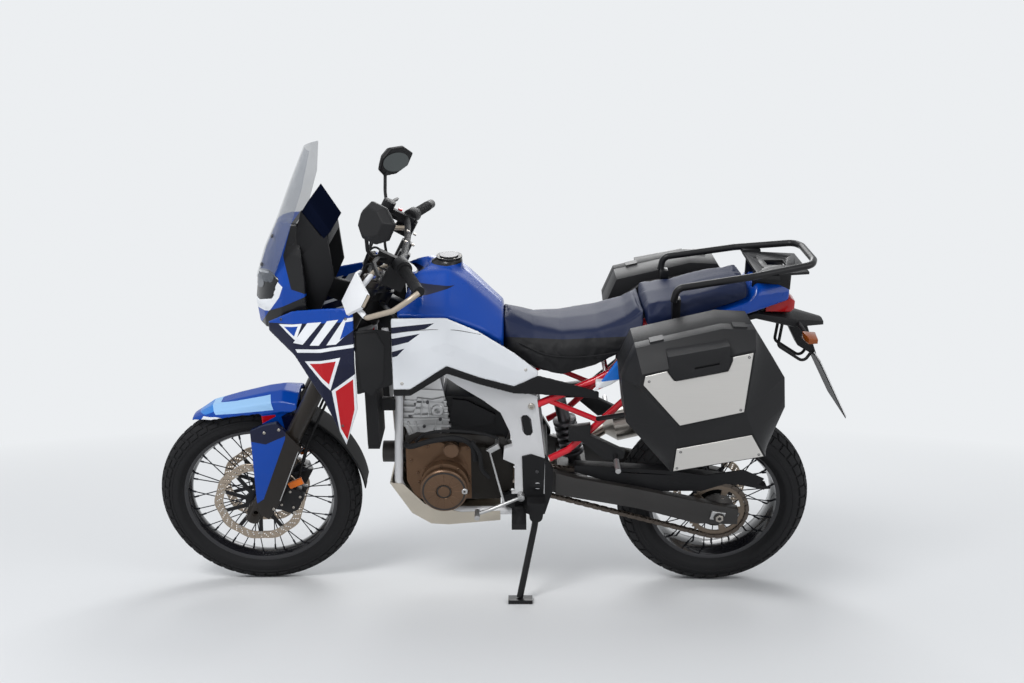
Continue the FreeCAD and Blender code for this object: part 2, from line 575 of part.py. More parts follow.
def luggage(subframe):
    """Side cases with lids that turn on a hinge along their lower outer edge."""
    parts = {}
    outline = CASE_OUTLINE
    hollow = inset(outline, CASE_WALL)
    shell = slab(outline, -CASE_SPLIT, -CASE_IN)
    shell = shell.cut(slab(hollow, -CASE_SPLIT - 1, -CASE_IN - CASE_WALL))
    centre = V(1440, 0, 880)

    def ply(points, y, shrink=1.0):
        return [V(centre.x + (x - centre.x) * shrink, y, centre.z + (z - centre.z) * shrink)
                for x, z in points]

    shoulder = -CASE_SPLIT - 42
    lid = fuse([slab(outline, shoulder, -CASE_SPLIT - TOUCH),
                skin([ply(outline, shoulder), ply(CASE_FACE, -CASE_OUT)])])
    room = fuse([slab(hollow, shoulder, -CASE_SPLIT + 1),
                 skin([ply(hollow, shoulder), ply(CASE_FACE, -CASE_OUT + CASE_WALL, 0.965)])])
    lid = lid.cut(room)
    # The hinge lies below the case's bottom edge, between its two lowest corners.
    a, b = V(1345, 0, 666), V(1646, 0, 725)
    along = (b - a).normalize()
    down = V(along.z, 0, -along.x)
    if down.z > 0:
        down = -down
    pin_at = V(0, -CASE_SPLIT, 0) + a + down * 9
    pin = Part.makeCylinder(LID_PIN_R, 240, pin_at + along * 30, along)
    ears, knuckles = [], []
    for f in (30, 234):
        eye = Part.makeCylinder(8, 36, pin_at + along * f, along)
        web = Part.makeBox(36, 8, 9, V(0, 0, 0))
        web.Placement = FreeCAD.Placement(a + along * f + down * 9 + V(0, -CASE_SPLIT + 0.2, 0),
                                          FreeCAD.Rotation(along, V(0, 1, 0), -down, "XYZ"))
        ears += [eye, web]
    eye = Part.makeCylinder(8, 160, pin_at + along * 70, along)
    web = Part.makeBox(160, 8, 9, V(0, 0, 0))
    web.Placement = FreeCAD.Placement(a + along * 70 + down * 9 + V(0, -CASE_SPLIT - 8.2, 0),
                                      FreeCAD.Rotation(along, V(0, 1, 0), -down, "XYZ"))
    knuckles += [eye, web]
    bore = Part.makeCylinder(LID_PIN_R + RUN, 400, pin_at - along * 50, along)
    shell = fuse([shell] + ears + [pin])
    lid_hinge = fuse(knuckles).cut(bore)
    lid = fuse([lid, lid_hinge])
    handle = slab([(1322, 1064), (1496, 1098), (1498, 1030), (1476, 1016), (1352, 990), (1330, 1010)],
                  -CASE_OUT - 12, -CASE_SPLIT - 30)
    grip = slab([(1400, 1032), (1470, 1047), (1470, 1040), (1400, 1025)], -CASE_OUT - 20, -CASE_OUT - 4)
    upper = slab([(1258, 1000), (1560, 1074), (1548, 882), (1370, 842)], -CASE_OUT - 3, -CASE_OUT)
    lower = slab([(1358, 690), (1622, 740), (1586, 808), (1364, 764)], -CASE_OUT - 3, -CASE_OUT)
    lid = fuse([lid, less(handle, room, grip), less(upper, handle), lower])
    for side, mir in (("left", False), ("right", True)):
        parts["case_" + side] = mirrored(shell) if mir else shell
        parts["lid_" + side] = mirrored(lid) if mir else lid
    # The carrier: a tube loop behind the case with stays to the subframe.
    loop = [tube([(1150, -138, 706), (1250, -206, 760), (1262, -206, 1000), (1330, -206, 1050),
                  (1560, -206, 1090), (1600, -206, 1060), (1600, -206, 800), (1500, -206, 736),
                  (1250, -206, 720)], 8, 0),
            rod((1400, -206, 1058), (1400, -112, 972), 8),
            rod((1560, -206, 1086), (1560, -96, 1045), 8)]
    pads = [disc((1262, 900), 14, -CASE_IN + TOUCH, -200), disc((1600, 900), 14, -CASE_IN + TOUCH, -200)]
    carrier = fuse(loop + pads)
    parts["pannier_carriers"] = less(pair(carrier), subframe)
    return parts


def seats(tank):
    rider = body([
        (792, [(0, 1082), (55, 1077), (82, 1040), (92, 985), (60, 960)]),
        (850, [(0, 1050), (62, 1045), (96, 1005), (112, 940), (80, 925)]),
        (950, [(0, 1012), (92, 1006), (130, 968), (150, 884), (110, 880)]),
        (1035, [(0, 1003), (116, 998), (152, 958), (164, 864), (120, 862)]),
        (1150, [(0, 1018), (130, 1013), (160, 970), (169, 905), (120, 900)]),
        (1240, [(0, 1050), (126, 1044), (157, 1000), (166, 955), (120, 950)]),
        (1292, [(0, 1088), (110, 1084), (144, 1040), (150, 1015), (110, 1010)])])
    passenger = body([
        (1292.3, [(0, 1092), (112, 1088), (140, 1060), (148, 1022), (100, 1018)]),
        (1400, [(0, 1112), (114, 1107), (136, 1078), (141, 1044), (96, 1040)]),
        (1520, [(0, 1146), (108, 1141), (128, 1110), (131, 1080), (90, 1076)]),
        (1622, [(0, 1171), (94, 1165), (111, 1138), (114, 1113), (80, 1109)])])
    return {"rider_seat": less(rider, tank), "passenger_seat": passenger}


def rear_parts(subframe, passenger):
    parts = {}
    tail = body([
        (1320, [(0, 1024), (96, 1024), (118, 1012), (124, 985), (90, 975)]),
        (1400, [(0, 1039.7), (95.7, 1039.7), (120, 1036), (122, 1000), (90, 985)]),
        (1520, [(0, 1075.7), (89.7, 1075.7), (116, 1066), (118, 1036), (80, 1020)]),
        (1622, [(0, 1108.7), (79.7, 1108.7), (108, 1096), (110, 1062), (70, 1050)]),
        (1650, [(0, 1150), (78, 1146), (100, 1120), (102, 1068), (66, 1056)]),
        (1760, [(0, 1148), (50, 1140), (64, 1118), (60, 1090), (40, 1084)])])
    parts["tail_cover"] = less(tail, subframe, passenger)
    rack = tube([(1377, -152, 1120), (1385, -152, 1164), (1620, -146, 1200), (1806, -112, 1226),
                 (1822, -70, 1228), (1822, 70, 1228), (1806, 112, 1226), (1620, 146, 1200),
                 (1385, 152, 1164), (1377, 152, 1120)], 11, 40)
    plate = slab_z([(1640, -118), (1806, -92), (1806, 92), (1640, 118)], 1188, 1196)
    holes = [rod((1720 + dx, dy, 1150), (1720 + dx, dy, 1250), 3.3)
             for dx in (-50, 50) for dy in (-50, 50)]
    plate = plate.cut(holes + [box(1690, 1750, -24, 24, 1150, 1250)])
    feet = pair(box(1640, 1760, -60, -48, 1120, 1188)) + pair(box(1640, 1700, -146, -110, 1190, 1202))
    feet += pair(box(1375, 1400, -152, -118, 1016, 1126))
    rack = fuse([rack, plate] + feet)
    parts["rack"] = less(rack, parts["tail_cover"], passenger)
    parts["tail_light"] = less(body([
        (1690, [(0, 1100), (56, 1096), (58, 1050), (40, 1040)]),
        (1772, [(0, 1094), (50, 1090), (50, 1046), (34, 1036)]),
        (1786, [(0, 1082), (40, 1078), (40, 1052), (28, 1046)])]), parts["tail_cover"])
    fender = body([
        (1500, [(0, 1004), (70, 1004), (74, 990), (60, 984)]),
        (1660, [(0, 1050), (66, 1046), (70, 1030), (50, 1022)]),
        (1790, [(0, 1030), (60, 1022), (66, 1000), (46, 990)]),
        (1890, [(0, 1006), (24, 1002), (28, 992), (20, 988)])])
    hanger = slab([(1770, 1000), (1838, 990), (1880, 884), (1872, 880), (1815, 915)], -22, 22)
    arm = rod((1800, -150, 1008), (1800, 150, 1008), 7)
    loop = pair(tube([(1758, -24, 1004), (1750, -24, 915), (1840, -24, 856), (1862, -24, 892)], 5, 20))
    parts["rear_fender"] = less(fuse([fender, hanger, arm, loop]), subframe, parts["tail_cover"],
                                parts["tail_light"])
    lamp = skin([[V(x, -150, 1008 + dz) for x, dz in ((1786, -12), (1786, 12), (1826, 9), (1826, -9))],
                 [V(x, -206, 1008 + dz) for x, dz in ((1792, -9), (1792, 9), (1820, 7), (1820, -7))]])
    parts["indicators"] = pair(lamp)
    plate = slab([(1870, 890), (1976, 690), (1979, 692), (1873, 892)], -100, 100)
    parts["number_plate"] = less(plate, parts["rear_fender"])
    return parts


def front_cowls():
    parts = {}
    levels = [
        (1010, [(55, 0), (62, -35), (90, -80), (150, -128), (240, -150)]),
        (1090, [(50, 0), (58, -45), (95, -95), (160, -138), (240, -155)]),
        (1170, [(62, 0), (72, -50), (115, -105), (170, -140), (240, -150)]),
        (1260, [(95, 0), (104, -50), (140, -95), (180, -116), (230, -122)]),
        (1350, [(140, 0), (147, -40), (165, -62), (190, -70), (215, -72)])]

    def sheaf(dx, fy, z0, z1):
        sections = []
        for k, (z, half) in enumerate(levels):
            z = z0 if k == 0 else z1 if k == len(levels) - 1 else z
            line = [(x + dx, y * fy) for x, y in half]
            if dx > 0:
                line[-1] = (line[-1][0] + 60, line[-1][1])
            other = [(x, -y) for x, y in reversed(line) if y < -0.01]
            sections.append([V(x, y, z) for x, y in line + other])
        return skin(sections)

    outer = sheaf(0, 1.0, 1010, 1350)
    inner = sheaf(13, 0.88, 1020, 1341)
    nose = outer.cut(inner)
    zone = pair(slab_x([(-14, 1112), (-30, 1186), (-96, 1206), (-124, 1184), (-112, 1120), (-60, 1098)],
                       20, 160))
    lamps = [nose.common(z) for z in zone]
    parts["headlamps"] = lamps
    nose = nose.cut(zone)
    parts["nose_cowl"] = nose
    screen = []
    for z, line in ((1170, [(57.7, 0), (67.7, -50), (96, -90), (126, -112)]),
                    (1260, [(90.7, 0), (99.7, -50), (126, -104), (166, -138)]),
                    (1350, [(135.7, 0), (142.7, -40), (164, -100), (202, -150)]),
                    (1470, [(188, 0), (194, -40), (212, -94), (244, -128)]),
                    (1578, [(238, 0), (242, -26), (252, -52), (266, -72)])):
        whole = list(reversed(line)) + [(x, -y) for x, y in line[1:]]
        inner_line = [(x + 4, y) for x, y in reversed(whole)]
        screen.append([V(x, y, z) for x, y in whole + inner_line])
    parts["windscreen"] = less(skin(screen), outer)
    parts["display"] = slab([(238, 1398), (262, 1433), (322, 1334), (300, 1312)], -104, 104)
    walls = slab([(216, 1030), (252, 1034), (282, 1096), (322, 1180), (308, 1330), (292, 1318), (236, 1400),
                  (216, 1330)], -104, -92)
    cross = [box(222, 240, -92, 92, 1105, 1165), box(262, 312, -92, 92, 1288, 1326)]
    keel = slab([(396, 1034), (438, 1112), (240, 1165), (240, 1105)], -8, 8)
    stay = fuse(pair(walls) + cross + [keel])
    return parts, stay, outer


def side_panels():
    parts = {}
    parts["side_cowls"] = pair(wing([
        (113, [(-138, 1050), (-139, 1036), (-138, 1020)]),
        (200, [(-178, 1100), (-196, 1030), (-200, 962)]),
        (291, [(-205, 1118), (-240, 990), (-248, 830)]),
        (351, [(-218, 1125), (-252, 950), (-242, 668)]),
        (396, [(-225, 1128), (-255, 960), (-252, 801)])], 10))
    shroud = pair(wing([
        (396.3, [(-224, 1052), (-250, 960), (-250, 850)]),
        (460, [(-228, 1060), (-246, 960), (-246, 866)]),
        (508, [(-226, 1052), (-240, 960), (-242, 880)])], 10))
    white = wing([
        (508.3, [(-224, 1092), (-238, 980), (-243, 864)]),
        (560, [(-222, 1093), (-235, 985), (-238, 862)]),
        (674, [(-216, 1092), (-226, 1015), (-222, 934)]),
        (774, [(-205, 1042), (-210, 965), (-202, 885)]),
        (883, [(-178, 958), (-180, 900), (-175, 841)]),
        (960, [(-162, 887), (-162, 880), (-162, 872)])], 10)
    parts["side_panels"] = white
    trim = pair(wing([
        (508.3, [(-243, 863.6), (-240, 850), (-236, 838)]),
        (560, [(-238, 861.6), (-236, 848), (-230, 836)]),
        (674, [(-222, 933.6), (-218, 918), (-212, 903)]),
        (774, [(-202, 884.6), (-198, 870), (-192, 856)]),
        (883, [(-175, 840.6), (-172, 826), (-168, 812)]),
        (960, [(-162, 871.6), (-160, 840), (-158, 804)]),
        (1040, [(-162, 850), (-160, 828), (-158, 798)]),
        (1155, [(-166, 816), (-164, 802), (-160, 788)])], 8))
    parts["black_trims"] = shroud + trim
    return parts


def side_stand():
    """The stand at its deployed stop; its foot lies flat on the ground of the leaning machine."""
    x, z = STAND_PIVOT
    eye = disc(STAND_PIVOT, 20, -187.5, -162.5)
    place = stance()
    ground = place.inverse()

    def on_ground(px, depth):
        """The point of the machine's frame at rest height depth, below the stand at px."""
        return ground.multVec(V(px, depth[0], depth[1]))

    tip = on_ground(900, (STAND_FOOT_Y, 14))
    leg = tube([(x, -175, z - 6), (x - 4, -175, z - 48), (tip.x, tip.y, tip.z)], 11, 60)
    corners = [(862, STAND_FOOT_Y - 30), (942, STAND_FOOT_Y - 30), (942, STAND_FOOT_Y + 30),
               (862, STAND_FOOT_Y + 30)]
    foot = face([V(px, py, 0) for px, py in corners]).extrude(V(0, 0, 12))
    foot = foot.transformed(ground.toMatrix())
    stand = fuse([eye, leg, foot])
    below = Part.makeBox(600, 600, 60, V(600, STAND_FOOT_Y - 300, -60))
    pin = disc(STAND_PIVOT, STAND_PIN_R + RUN, -200, -150)
    return stand.cut([below.transformed(ground.toMatrix()), pin])


def fuel_tank():
    return body([
        (520, [(0, 1190), (70, 1184), (120, 1150), (160, 1106), (194, 1090), (160, 1060), (60, 1056)]),
        (600, [(0, 1206), (80, 1195), (132, 1154), (172, 1111), (203, 1092), (160, 1040), (60, 1010)]),
        (680, [(0, 1212), (80, 1200), (128, 1154), (168, 1111), (200, 1091), (160, 1000), (60, 960)]),
        (740, [(0, 1166), (75, 1155), (118, 1116), (155, 1086), (188, 1062), (150, 980), (60, 935)]),
        (800, [(0, 1108), (65, 1098), (105, 1072), (140, 1050), (172, 1030), (140, 960), (60, 925)]),
        (850, [(0, 1058), (60, 1050), (95, 1036), (128, 1012), (156, 990), (130, 950), (60, 925)])])


def build():
    parts = {}
    parts.update(wheels())
    steer, legs = steering()
    parts.update(steer)
    parts["front_fender"] = fender(legs)
    guard = slab([(16, 672), (60, 690), (104, 700), (176, 604), (92, 398), (46, 330), (20, 350),
                  (12, 405)], -142, -124)
    parts["fork_guards"] = less(pair(guard), legs)
    frame = frame_parts()
    parts.update(frame)
    engine = engine_parts()
    parts.update(engine)
    solids = [engine["crankcase"], engine["engine_covers"], engine["cylinders"], frame["cradle"],
              frame["main_frame"]]
    parts.update(exhaust(solids))
    parts.update(swingarm_parts())
    parts.update(chain_parts())
    swing = to_fork(box(-200, 74, -156, 156, 600, 975).fuse(
        Part.makeCylinder(92, 300, V(0, 0, 940), V(0, 0, 1))))
    tank = less(fuse([fuel_tank(), rod((676, 0, 1190), (676, 0, 1219), 44)]), swing,
                frame["main_frame"])
    parts["fuel_tank"] = tank
    parts.update(seats(tank))
    parts.update(rear_parts(frame["subframe"], parts["passenger_seat"]))
    parts.update(luggage([frame["subframe"], parts["tail_cover"], parts["rack"]]))
    cowls, stay, outer = front_cowls()
    parts.update(cowls)
    parts["fairing_stay"] = less(stay, frame["main_frame"], parts["display"], parts["nose_cowl"])
    panels = side_panels()
    tab = box(600, 660, -216, -190, 1070, 1086)
    panels["side_panels"] = less(pair(fuse([panels["side_panels"], tab])), tank)
    parts.update(panels)
    parts["side_cowls"] = less(parts["side_cowls"], outer)
    radiator = box(415, 452, -214, -74, 640, 880)
    bracket = box(440, 500, -122, -98, 730, 770)
    arm = box(420, 448, -244, -214, 856, 876)
    radiator = fuse([radiator, bracket, arm])
    parts["radiators"] = less(pair(radiator), frame["cradle"], parts["black_trims"])
    cover = slab([(1135, 825), (1205, 930), (1258, 940), (1269, 905), (1190, 850)], -182, -170)
    cover = fuse([cover, box(1142, 1172, -172, -140, 838, 856)])
    parts["rear_side_covers"] = less(pair(cover), parts["rider_seat"], frame["subframe"])
    skid = slab([(466, 462), (536, 345), (600, 303), (660, 299), (835, 316), (835, 321), (660, 304.5),
                 (602, 308.5), (541, 348), (471, 465)], -130, 130)
    side = slab([(468, 462), (538, 347), (601, 306), (660, 302), (835, 318), (835, 352), (700, 348),
                 (580, 380), (510, 458)], -130, -126.3)
    parts["skid_plate"] = less(fuse([skid] + pair(side)), frame["cradle"], engine["engine_covers"])
    hanger = slab([(1100, 640), (1130, 660), (1245, 600), (1240, 575), (1180, 568)], -168, -146)
    peg = disc((1214, 584), 9, -262, -168)
    stem = slab([(1060, 640), (1100, 640), (1130, 660), (1130, 700), (1060, 690)], -168, -146)
    rear_pegs = less(pair(fuse([hanger, peg, stem])), frame["subframe"])
    peg = fuse([box(874, 922, -268, -172, 370, 390), box(884, 912, -176, -150.3, 366, 394)])
    parts["foot_pegs"] = less(pair(peg), frame["main_frame"]) + rear_pegs
    lever = fuse([tube([(760, -196, 384), (800, -186, 392), (900, -170, 428)], 6, 20),
                  disc((760, 384), 9, -222, -180), disc((905, 430), 12, -176, -150.3),
                  rod((800, -151, 600), (850, -178, 408), 3.5), disc((826, 612), 7, -156, -104),
                  slab([(790, 600), (806, 590), (836, 608), (828, 624)], -157, -145)])
    pedal = fuse([tube([(760, 196, 384), (800, 186, 388), (900, 170, 428)], 6, 20),
                  disc((760, 384), 9, 180, 216), disc((905, 430), 12, 150.3, 176)])
    parts["foot_levers"] = less([lever, pedal], frame["main_frame"], engine["engine_covers"],
                                engine["crankcase"])
    x, z = WHEELBASE, REAR_R
    guard = slab([(1084, 520), (x - 175, z + 167), (x + 25, z + 137), (x + 160, z + 103),
                  (x + 150, z + 92), (x + 15, z + 123), (x - 185, z + 153), (1084, 508)], -118, -80)
    side = slab([(1084, 514), (x - 290, z + 156), (x - 171, z + 150), (x - 60, z + 146),
                 (x + 75, z + 168), (x + 147, z + 134), (x + 125, z + 104), (x + 20, z + 116),
                 (x - 60, z + 88), (x - 240, z + 88), (x - 330, z + 110), (1084, 496)], -118, -112)
    parts["chain_guard"] = less(fuse([guard, side]), parts["swingarm"])
    parts["side_stand"] = side_stand()
    caliper = slab([(x - 95, z + 39), (x - 23, z + 39), (x - 23, z + 96), (x - 44, z + 110),
                    (x - 88, z + 104), (x - 95, z + 84)], 56, 109.7)
    caliper = caliper.cut(Part.makeCylinder(134, 14, V(x, 52, z), V(0, 1, 0)))
    parts["rear_caliper"] = caliper
    return parts


# Where the machine stands: the tilt about the x axis, the small pitch that brings both tyres to the
# ground, and the shift that centres the whole box over the origin.
STEERED = ("fork_legs", "triple_clamps", "handlebar", "hand_controls", "hand_guards", "mirrors",
           "front_calipers", "brake_hoses", "front_fender", "fork_guards", "front_tyre",
           "front_wheel", "front_discs")


def steer_turn():
    return FreeCAD.Placement(V(0, 0, 0), FreeCAD.Rotation(AXIS, STEER), AXIS_FOOT)


def crown(radius, half, shoulder):
    depth = radius - shoulder
    r = (half * half + depth * depth) / (2 * depth)
    return radius - r, r


def lowest(place, centre, axle, ring_r, crown_r):
    c = place.multVec(centre)
    a = place.Rotation.multVec(axle)
    return c.z - ring_r * math.sqrt(max(0.0, 1 - a.z * a.z)) - crown_r


def stance():
    turn = steer_turn()
    front_c = turn.multVec(FRONT_AXLE)
    front_a = turn.Rotation.multVec(V(0, 1, 0))
    fr, fc = crown(FRONT_R, FRONT_HALF, 310)
    rr, rc = crown(REAR_R, REAR_HALF, 275)
    pitch, lift = 0.0, 0.0
    for _ in range(40):
        lean = FreeCAD.Rotation(V(1, 0, 0), LEAN)
        tip = FreeCAD.Rotation(V(0, 1, 0), pitch)
        place = FreeCAD.Placement(V(0, 0, lift), lean.multiply(tip))
        low_f = lowest(place, front_c, front_a, fr, fc)
        low_r = lowest(place, REAR_AXLE, V(0, 1, 0), rr, rc)
        pitch += math.degrees((low_r - low_f) / WHEELBASE)
        lift -= low_f if abs(low_f) < abs(low_r) else low_r
    return place


def tight_box(shape):
    return shape.optimalBoundingBox(False)


def placed_parts(parts):
    """Every part where the machine stands, with the shift that centres the whole box."""
    turn, stand = steer_turn(), stance()
    placed = {}
    for name, shape in parts.items():
        whole = Part.makeCompound(shape) if isinstance(shape, list) else shape
        if name in STEERED:
            whole = whole.transformed(turn.toMatrix())
        placed[name] = whole.transformed(stand.toMatrix())
    bounds = tight_box(Part.makeCompound(list(placed.values())))
    shift = V(-(bounds.XMin + bounds.XMax) / 2, -(bounds.YMin + bounds.YMax) / 2, 0)
    return placed, shift


def export(parts):
    os.makedirs("parts", exist_ok=True)
    placed, shift = placed_parts(parts)
    for name, shape in placed.items():
        shape.translated(shift).exportStep("parts/%s.step" % name)


if __name__ == "__main__":
    export(build())
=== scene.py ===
# %% [markdown]
# An adventure motorcycle, leaning on its side stand. The frame is the CAD model: every solid is
# already at its real place, so this script gives each one its finish and, where a plain solid is
# not enough, builds the real form over it. Lengths in the tables are millimetres in the machine's
# own upright frame: x rearward from the front axle, y to the rider's right, z up from the ground.

# %% Libraries and the frame
import json
import math
import bmesh
import bpy
from mathutils import Matrix, Vector
from mathutils.bvhtree import BVHTree

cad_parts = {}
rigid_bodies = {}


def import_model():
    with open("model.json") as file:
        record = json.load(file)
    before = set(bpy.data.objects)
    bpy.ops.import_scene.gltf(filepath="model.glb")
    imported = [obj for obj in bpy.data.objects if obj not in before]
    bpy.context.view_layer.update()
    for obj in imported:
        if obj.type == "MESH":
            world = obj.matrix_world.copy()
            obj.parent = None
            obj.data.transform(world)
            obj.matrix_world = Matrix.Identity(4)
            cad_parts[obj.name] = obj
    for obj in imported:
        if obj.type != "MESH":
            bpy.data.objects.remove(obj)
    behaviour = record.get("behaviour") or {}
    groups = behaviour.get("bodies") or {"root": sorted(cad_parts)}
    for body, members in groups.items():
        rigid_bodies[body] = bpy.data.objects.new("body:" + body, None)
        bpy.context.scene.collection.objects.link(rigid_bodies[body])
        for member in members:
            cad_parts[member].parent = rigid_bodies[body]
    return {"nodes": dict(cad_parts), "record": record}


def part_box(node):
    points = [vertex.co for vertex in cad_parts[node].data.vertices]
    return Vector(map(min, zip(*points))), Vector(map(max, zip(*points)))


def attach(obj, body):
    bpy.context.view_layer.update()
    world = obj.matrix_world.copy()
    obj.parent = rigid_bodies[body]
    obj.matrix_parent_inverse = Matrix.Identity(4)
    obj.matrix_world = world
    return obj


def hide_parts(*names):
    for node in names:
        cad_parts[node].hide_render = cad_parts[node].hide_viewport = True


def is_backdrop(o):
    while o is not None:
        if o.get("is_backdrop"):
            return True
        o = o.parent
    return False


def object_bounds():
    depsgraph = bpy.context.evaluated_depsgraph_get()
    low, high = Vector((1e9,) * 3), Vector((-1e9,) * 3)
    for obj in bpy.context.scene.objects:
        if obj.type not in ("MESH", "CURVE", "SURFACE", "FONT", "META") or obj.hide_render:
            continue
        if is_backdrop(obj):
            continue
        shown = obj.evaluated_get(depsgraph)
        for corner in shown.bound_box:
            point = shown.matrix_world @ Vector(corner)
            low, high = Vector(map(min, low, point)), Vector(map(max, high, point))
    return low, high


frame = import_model()
cad_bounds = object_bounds()
NODES = frame["nodes"]
print("nodes", len(NODES))

# %% [markdown]
# The machine stands tilted, with its bars a little to the left. Two matrices carry a point from the
# upright frame to where it rests: one for the chassis, and one for what turns with the bars. The
# rear tyre's box tells where the upright frame's origin lies.

# %% The resting place
WHEELBASE = 1.575
FRONT_R, REAR_R = 0.347, 0.333
LEAN, PITCH, STEER, RAKE = (math.radians(a) for a in (21.0, -0.1296, 2.5, 27.5))
FORK_OFFSET = 0.060
AXIS = Vector((math.sin(RAKE), 0, math.cos(RAKE)))
NORMAL = Vector((math.cos(RAKE), 0, -math.sin(RAKE)))
FRONT_AXLE = Vector((0, 0, FRONT_R))
REAR_AXLE = Vector((WHEELBASE, 0, REAR_R))
AXIS_FOOT = FRONT_AXLE + NORMAL * FORK_OFFSET

turned = Matrix.Rotation(LEAN, 4, "X") @ Matrix.Rotation(PITCH, 4, "Y")
low, high = (Vector(c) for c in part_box("rear_tyre"))
CHASSIS = Matrix.Translation((low + high) / 2 - turned @ REAR_AXLE) @ turned
STEERING = (CHASSIS @ Matrix.Translation(AXIS_FOOT) @ Matrix.Rotation(STEER, 4, AXIS)
            @ Matrix.Translation(-AXIS_FOOT))
FORK = STEERING @ Matrix.Translation(AXIS_FOOT) @ Matrix.Rotation(RAKE, 4, "Y")
print("chassis matrix", [round(v, 4) for row in CHASSIS for v in row])

# %% [markdown]
# A mesh in millimetres of the upright frame is carried to its place as it is made, so that every
# finished object sits at the world's origin with its place in its vertices.

# %% Making and finishing meshes
def link(obj):
    bpy.context.scene.collection.objects.link(obj)
    return obj


def set_piece(obj, body, material, slot=None, replaces=()):
    """The last step for every piece: its finish, its body and the nodes it stands for."""
    obj.data.materials.clear()
    obj.data.materials.append(material)
    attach(obj, body)
    if replaces:
        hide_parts(*replaces)
    return obj


def applied(obj):
    """The object with its modifiers turned into plain mesh."""
    graph = bpy.context.evaluated_depsgraph_get()
    graph.update()
    mesh = bpy.data.meshes.new_from_object(obj.evaluated_get(graph))
    obj.modifiers.clear()
    old = obj.data
    obj.data = mesh
    if old.users == 0 and isinstance(old, bpy.types.Mesh):
        bpy.data.meshes.remove(old)
    return obj


def rounded_shading(mesh, degrees):
    mesh.shade_smooth()
    mesh.set_sharp_from_angle(angle=math.radians(degrees))


def merged_copy(node, name):
    """A copy of a CAD node whose loose triangles are joined and whose flats are single faces."""
    source = NODES[node]
    obj = link(bpy.data.objects.new(name, source.data.copy()))
    obj.matrix_world = source.matrix_world
    obj.data.transform(obj.matrix_world)
    obj.matrix_world = Matrix.Identity(4)
    work = bmesh.new()
    work.from_mesh(obj.data)
    bmesh.ops.remove_doubles(work, verts=work.verts, dist=0.00002)
    bmesh.ops.dissolve_limit(work, angle_limit=math.radians(1.0), verts=work.verts, edges=work.edges)
    work.to_mesh(obj.data)
    work.free()
    return obj


print("materials before any finish", len(bpy.data.materials))

# %% [markdown]
# A CAD solid has knife edges and flat facets. Two ways make it look real: small bevels for what is
# cast, bent or cut, and a fine remesh with smoothing for what is moulded. The remesh is kept for
# the shells, because it costs many faces and would round away a bracket's corners.

# %% Two ways to finish a solid
def eased(node, body, material, bevel=1.0, slot=None, degrees=32):
    """A CAD node with its edges broken by a small bevel, as a cast, bent or moulded piece has."""
    obj = merged_copy(node, node + "_finish")
    if bevel:
        edge = obj.modifiers.new("edge", "BEVEL")
        edge.width, edge.segments = bevel / 1000, 2
        edge.limit_method, edge.angle_limit = "ANGLE", math.radians(degrees)
        edge.harden_normals = False
        applied(obj)
    rounded_shading(obj.data, degrees)
    return set_piece(obj, body, material, slot, (node,))


def softened(node, body, material, voxel, rounds, slot=None):
    """A moulded shell: the straight-sided solid remeshed finely and smoothed, so its creases round."""
    obj = merged_copy(node, node + "_shell")
    remesh = obj.modifiers.new("remesh", "REMESH")
    remesh.mode, remesh.voxel_size = "VOXEL", voxel / 1000
    smooth = obj.modifiers.new("smooth", "SMOOTH")
    smooth.iterations, smooth.factor = rounds, 0.5
    applied(obj)
    obj.data.shade_smooth()
    print(node, "faces", len(obj.data.polygons))
    return set_piece(obj, body, material, slot, (node,))


print("edges sharper than 32 degrees are eased")

# %% [markdown]
# Shader maths is slow to read as rows of nodes, and reads best as plain arithmetic. A Value wraps
# one socket, and each operator adds the Math node that it needs, so that (z - 700) * 0.5 in Python
# is that same sum in the shader.

# %% Values that make nodes
class Value:
    def __init__(self, finish, socket):
        self.finish, self.socket = finish, socket

    def math(self, operation, *others):
        node = self.finish.add("ShaderNodeMath", {"operation": operation}, [self, *others])
        return Value(self.finish, node.outputs[0])

    def __add__(self, other): return self.math("ADD", other)
    def __radd__(self, other): return self.math("ADD", other)
    def __sub__(self, other): return self.math("SUBTRACT", other)
    def __rsub__(self, other): return Value(self.finish, self.finish.add(
        "ShaderNodeMath", {"operation": "SUBTRACT"}, [other, self]).outputs[0])
    def __mul__(self, other): return self.math("MULTIPLY", other)
    def __rmul__(self, other): return self.math("MULTIPLY", other)
    def __truediv__(self, other): return self.math("DIVIDE", other)
    def __gt__(self, other): return self.math("GREATER_THAN", other)
    def __lt__(self, other): return self.math("LESS_THAN", other)
    def __abs__(self): return self.math("ABSOLUTE")
    def least(self, other): return self.math("MINIMUM", other)
    def most(self, other): return self.math("MAXIMUM", other)


print("operators", [k for k, v in vars(Value).items() if callable(v) and k != "__init__"])

# %% [markdown]
# A material, a world and a geometry tree are all node trees. One method makes a node of any type:
# it takes the type, the settings, and what goes into its sockets, by place or by name. Colours
# without alpha get theirs here.

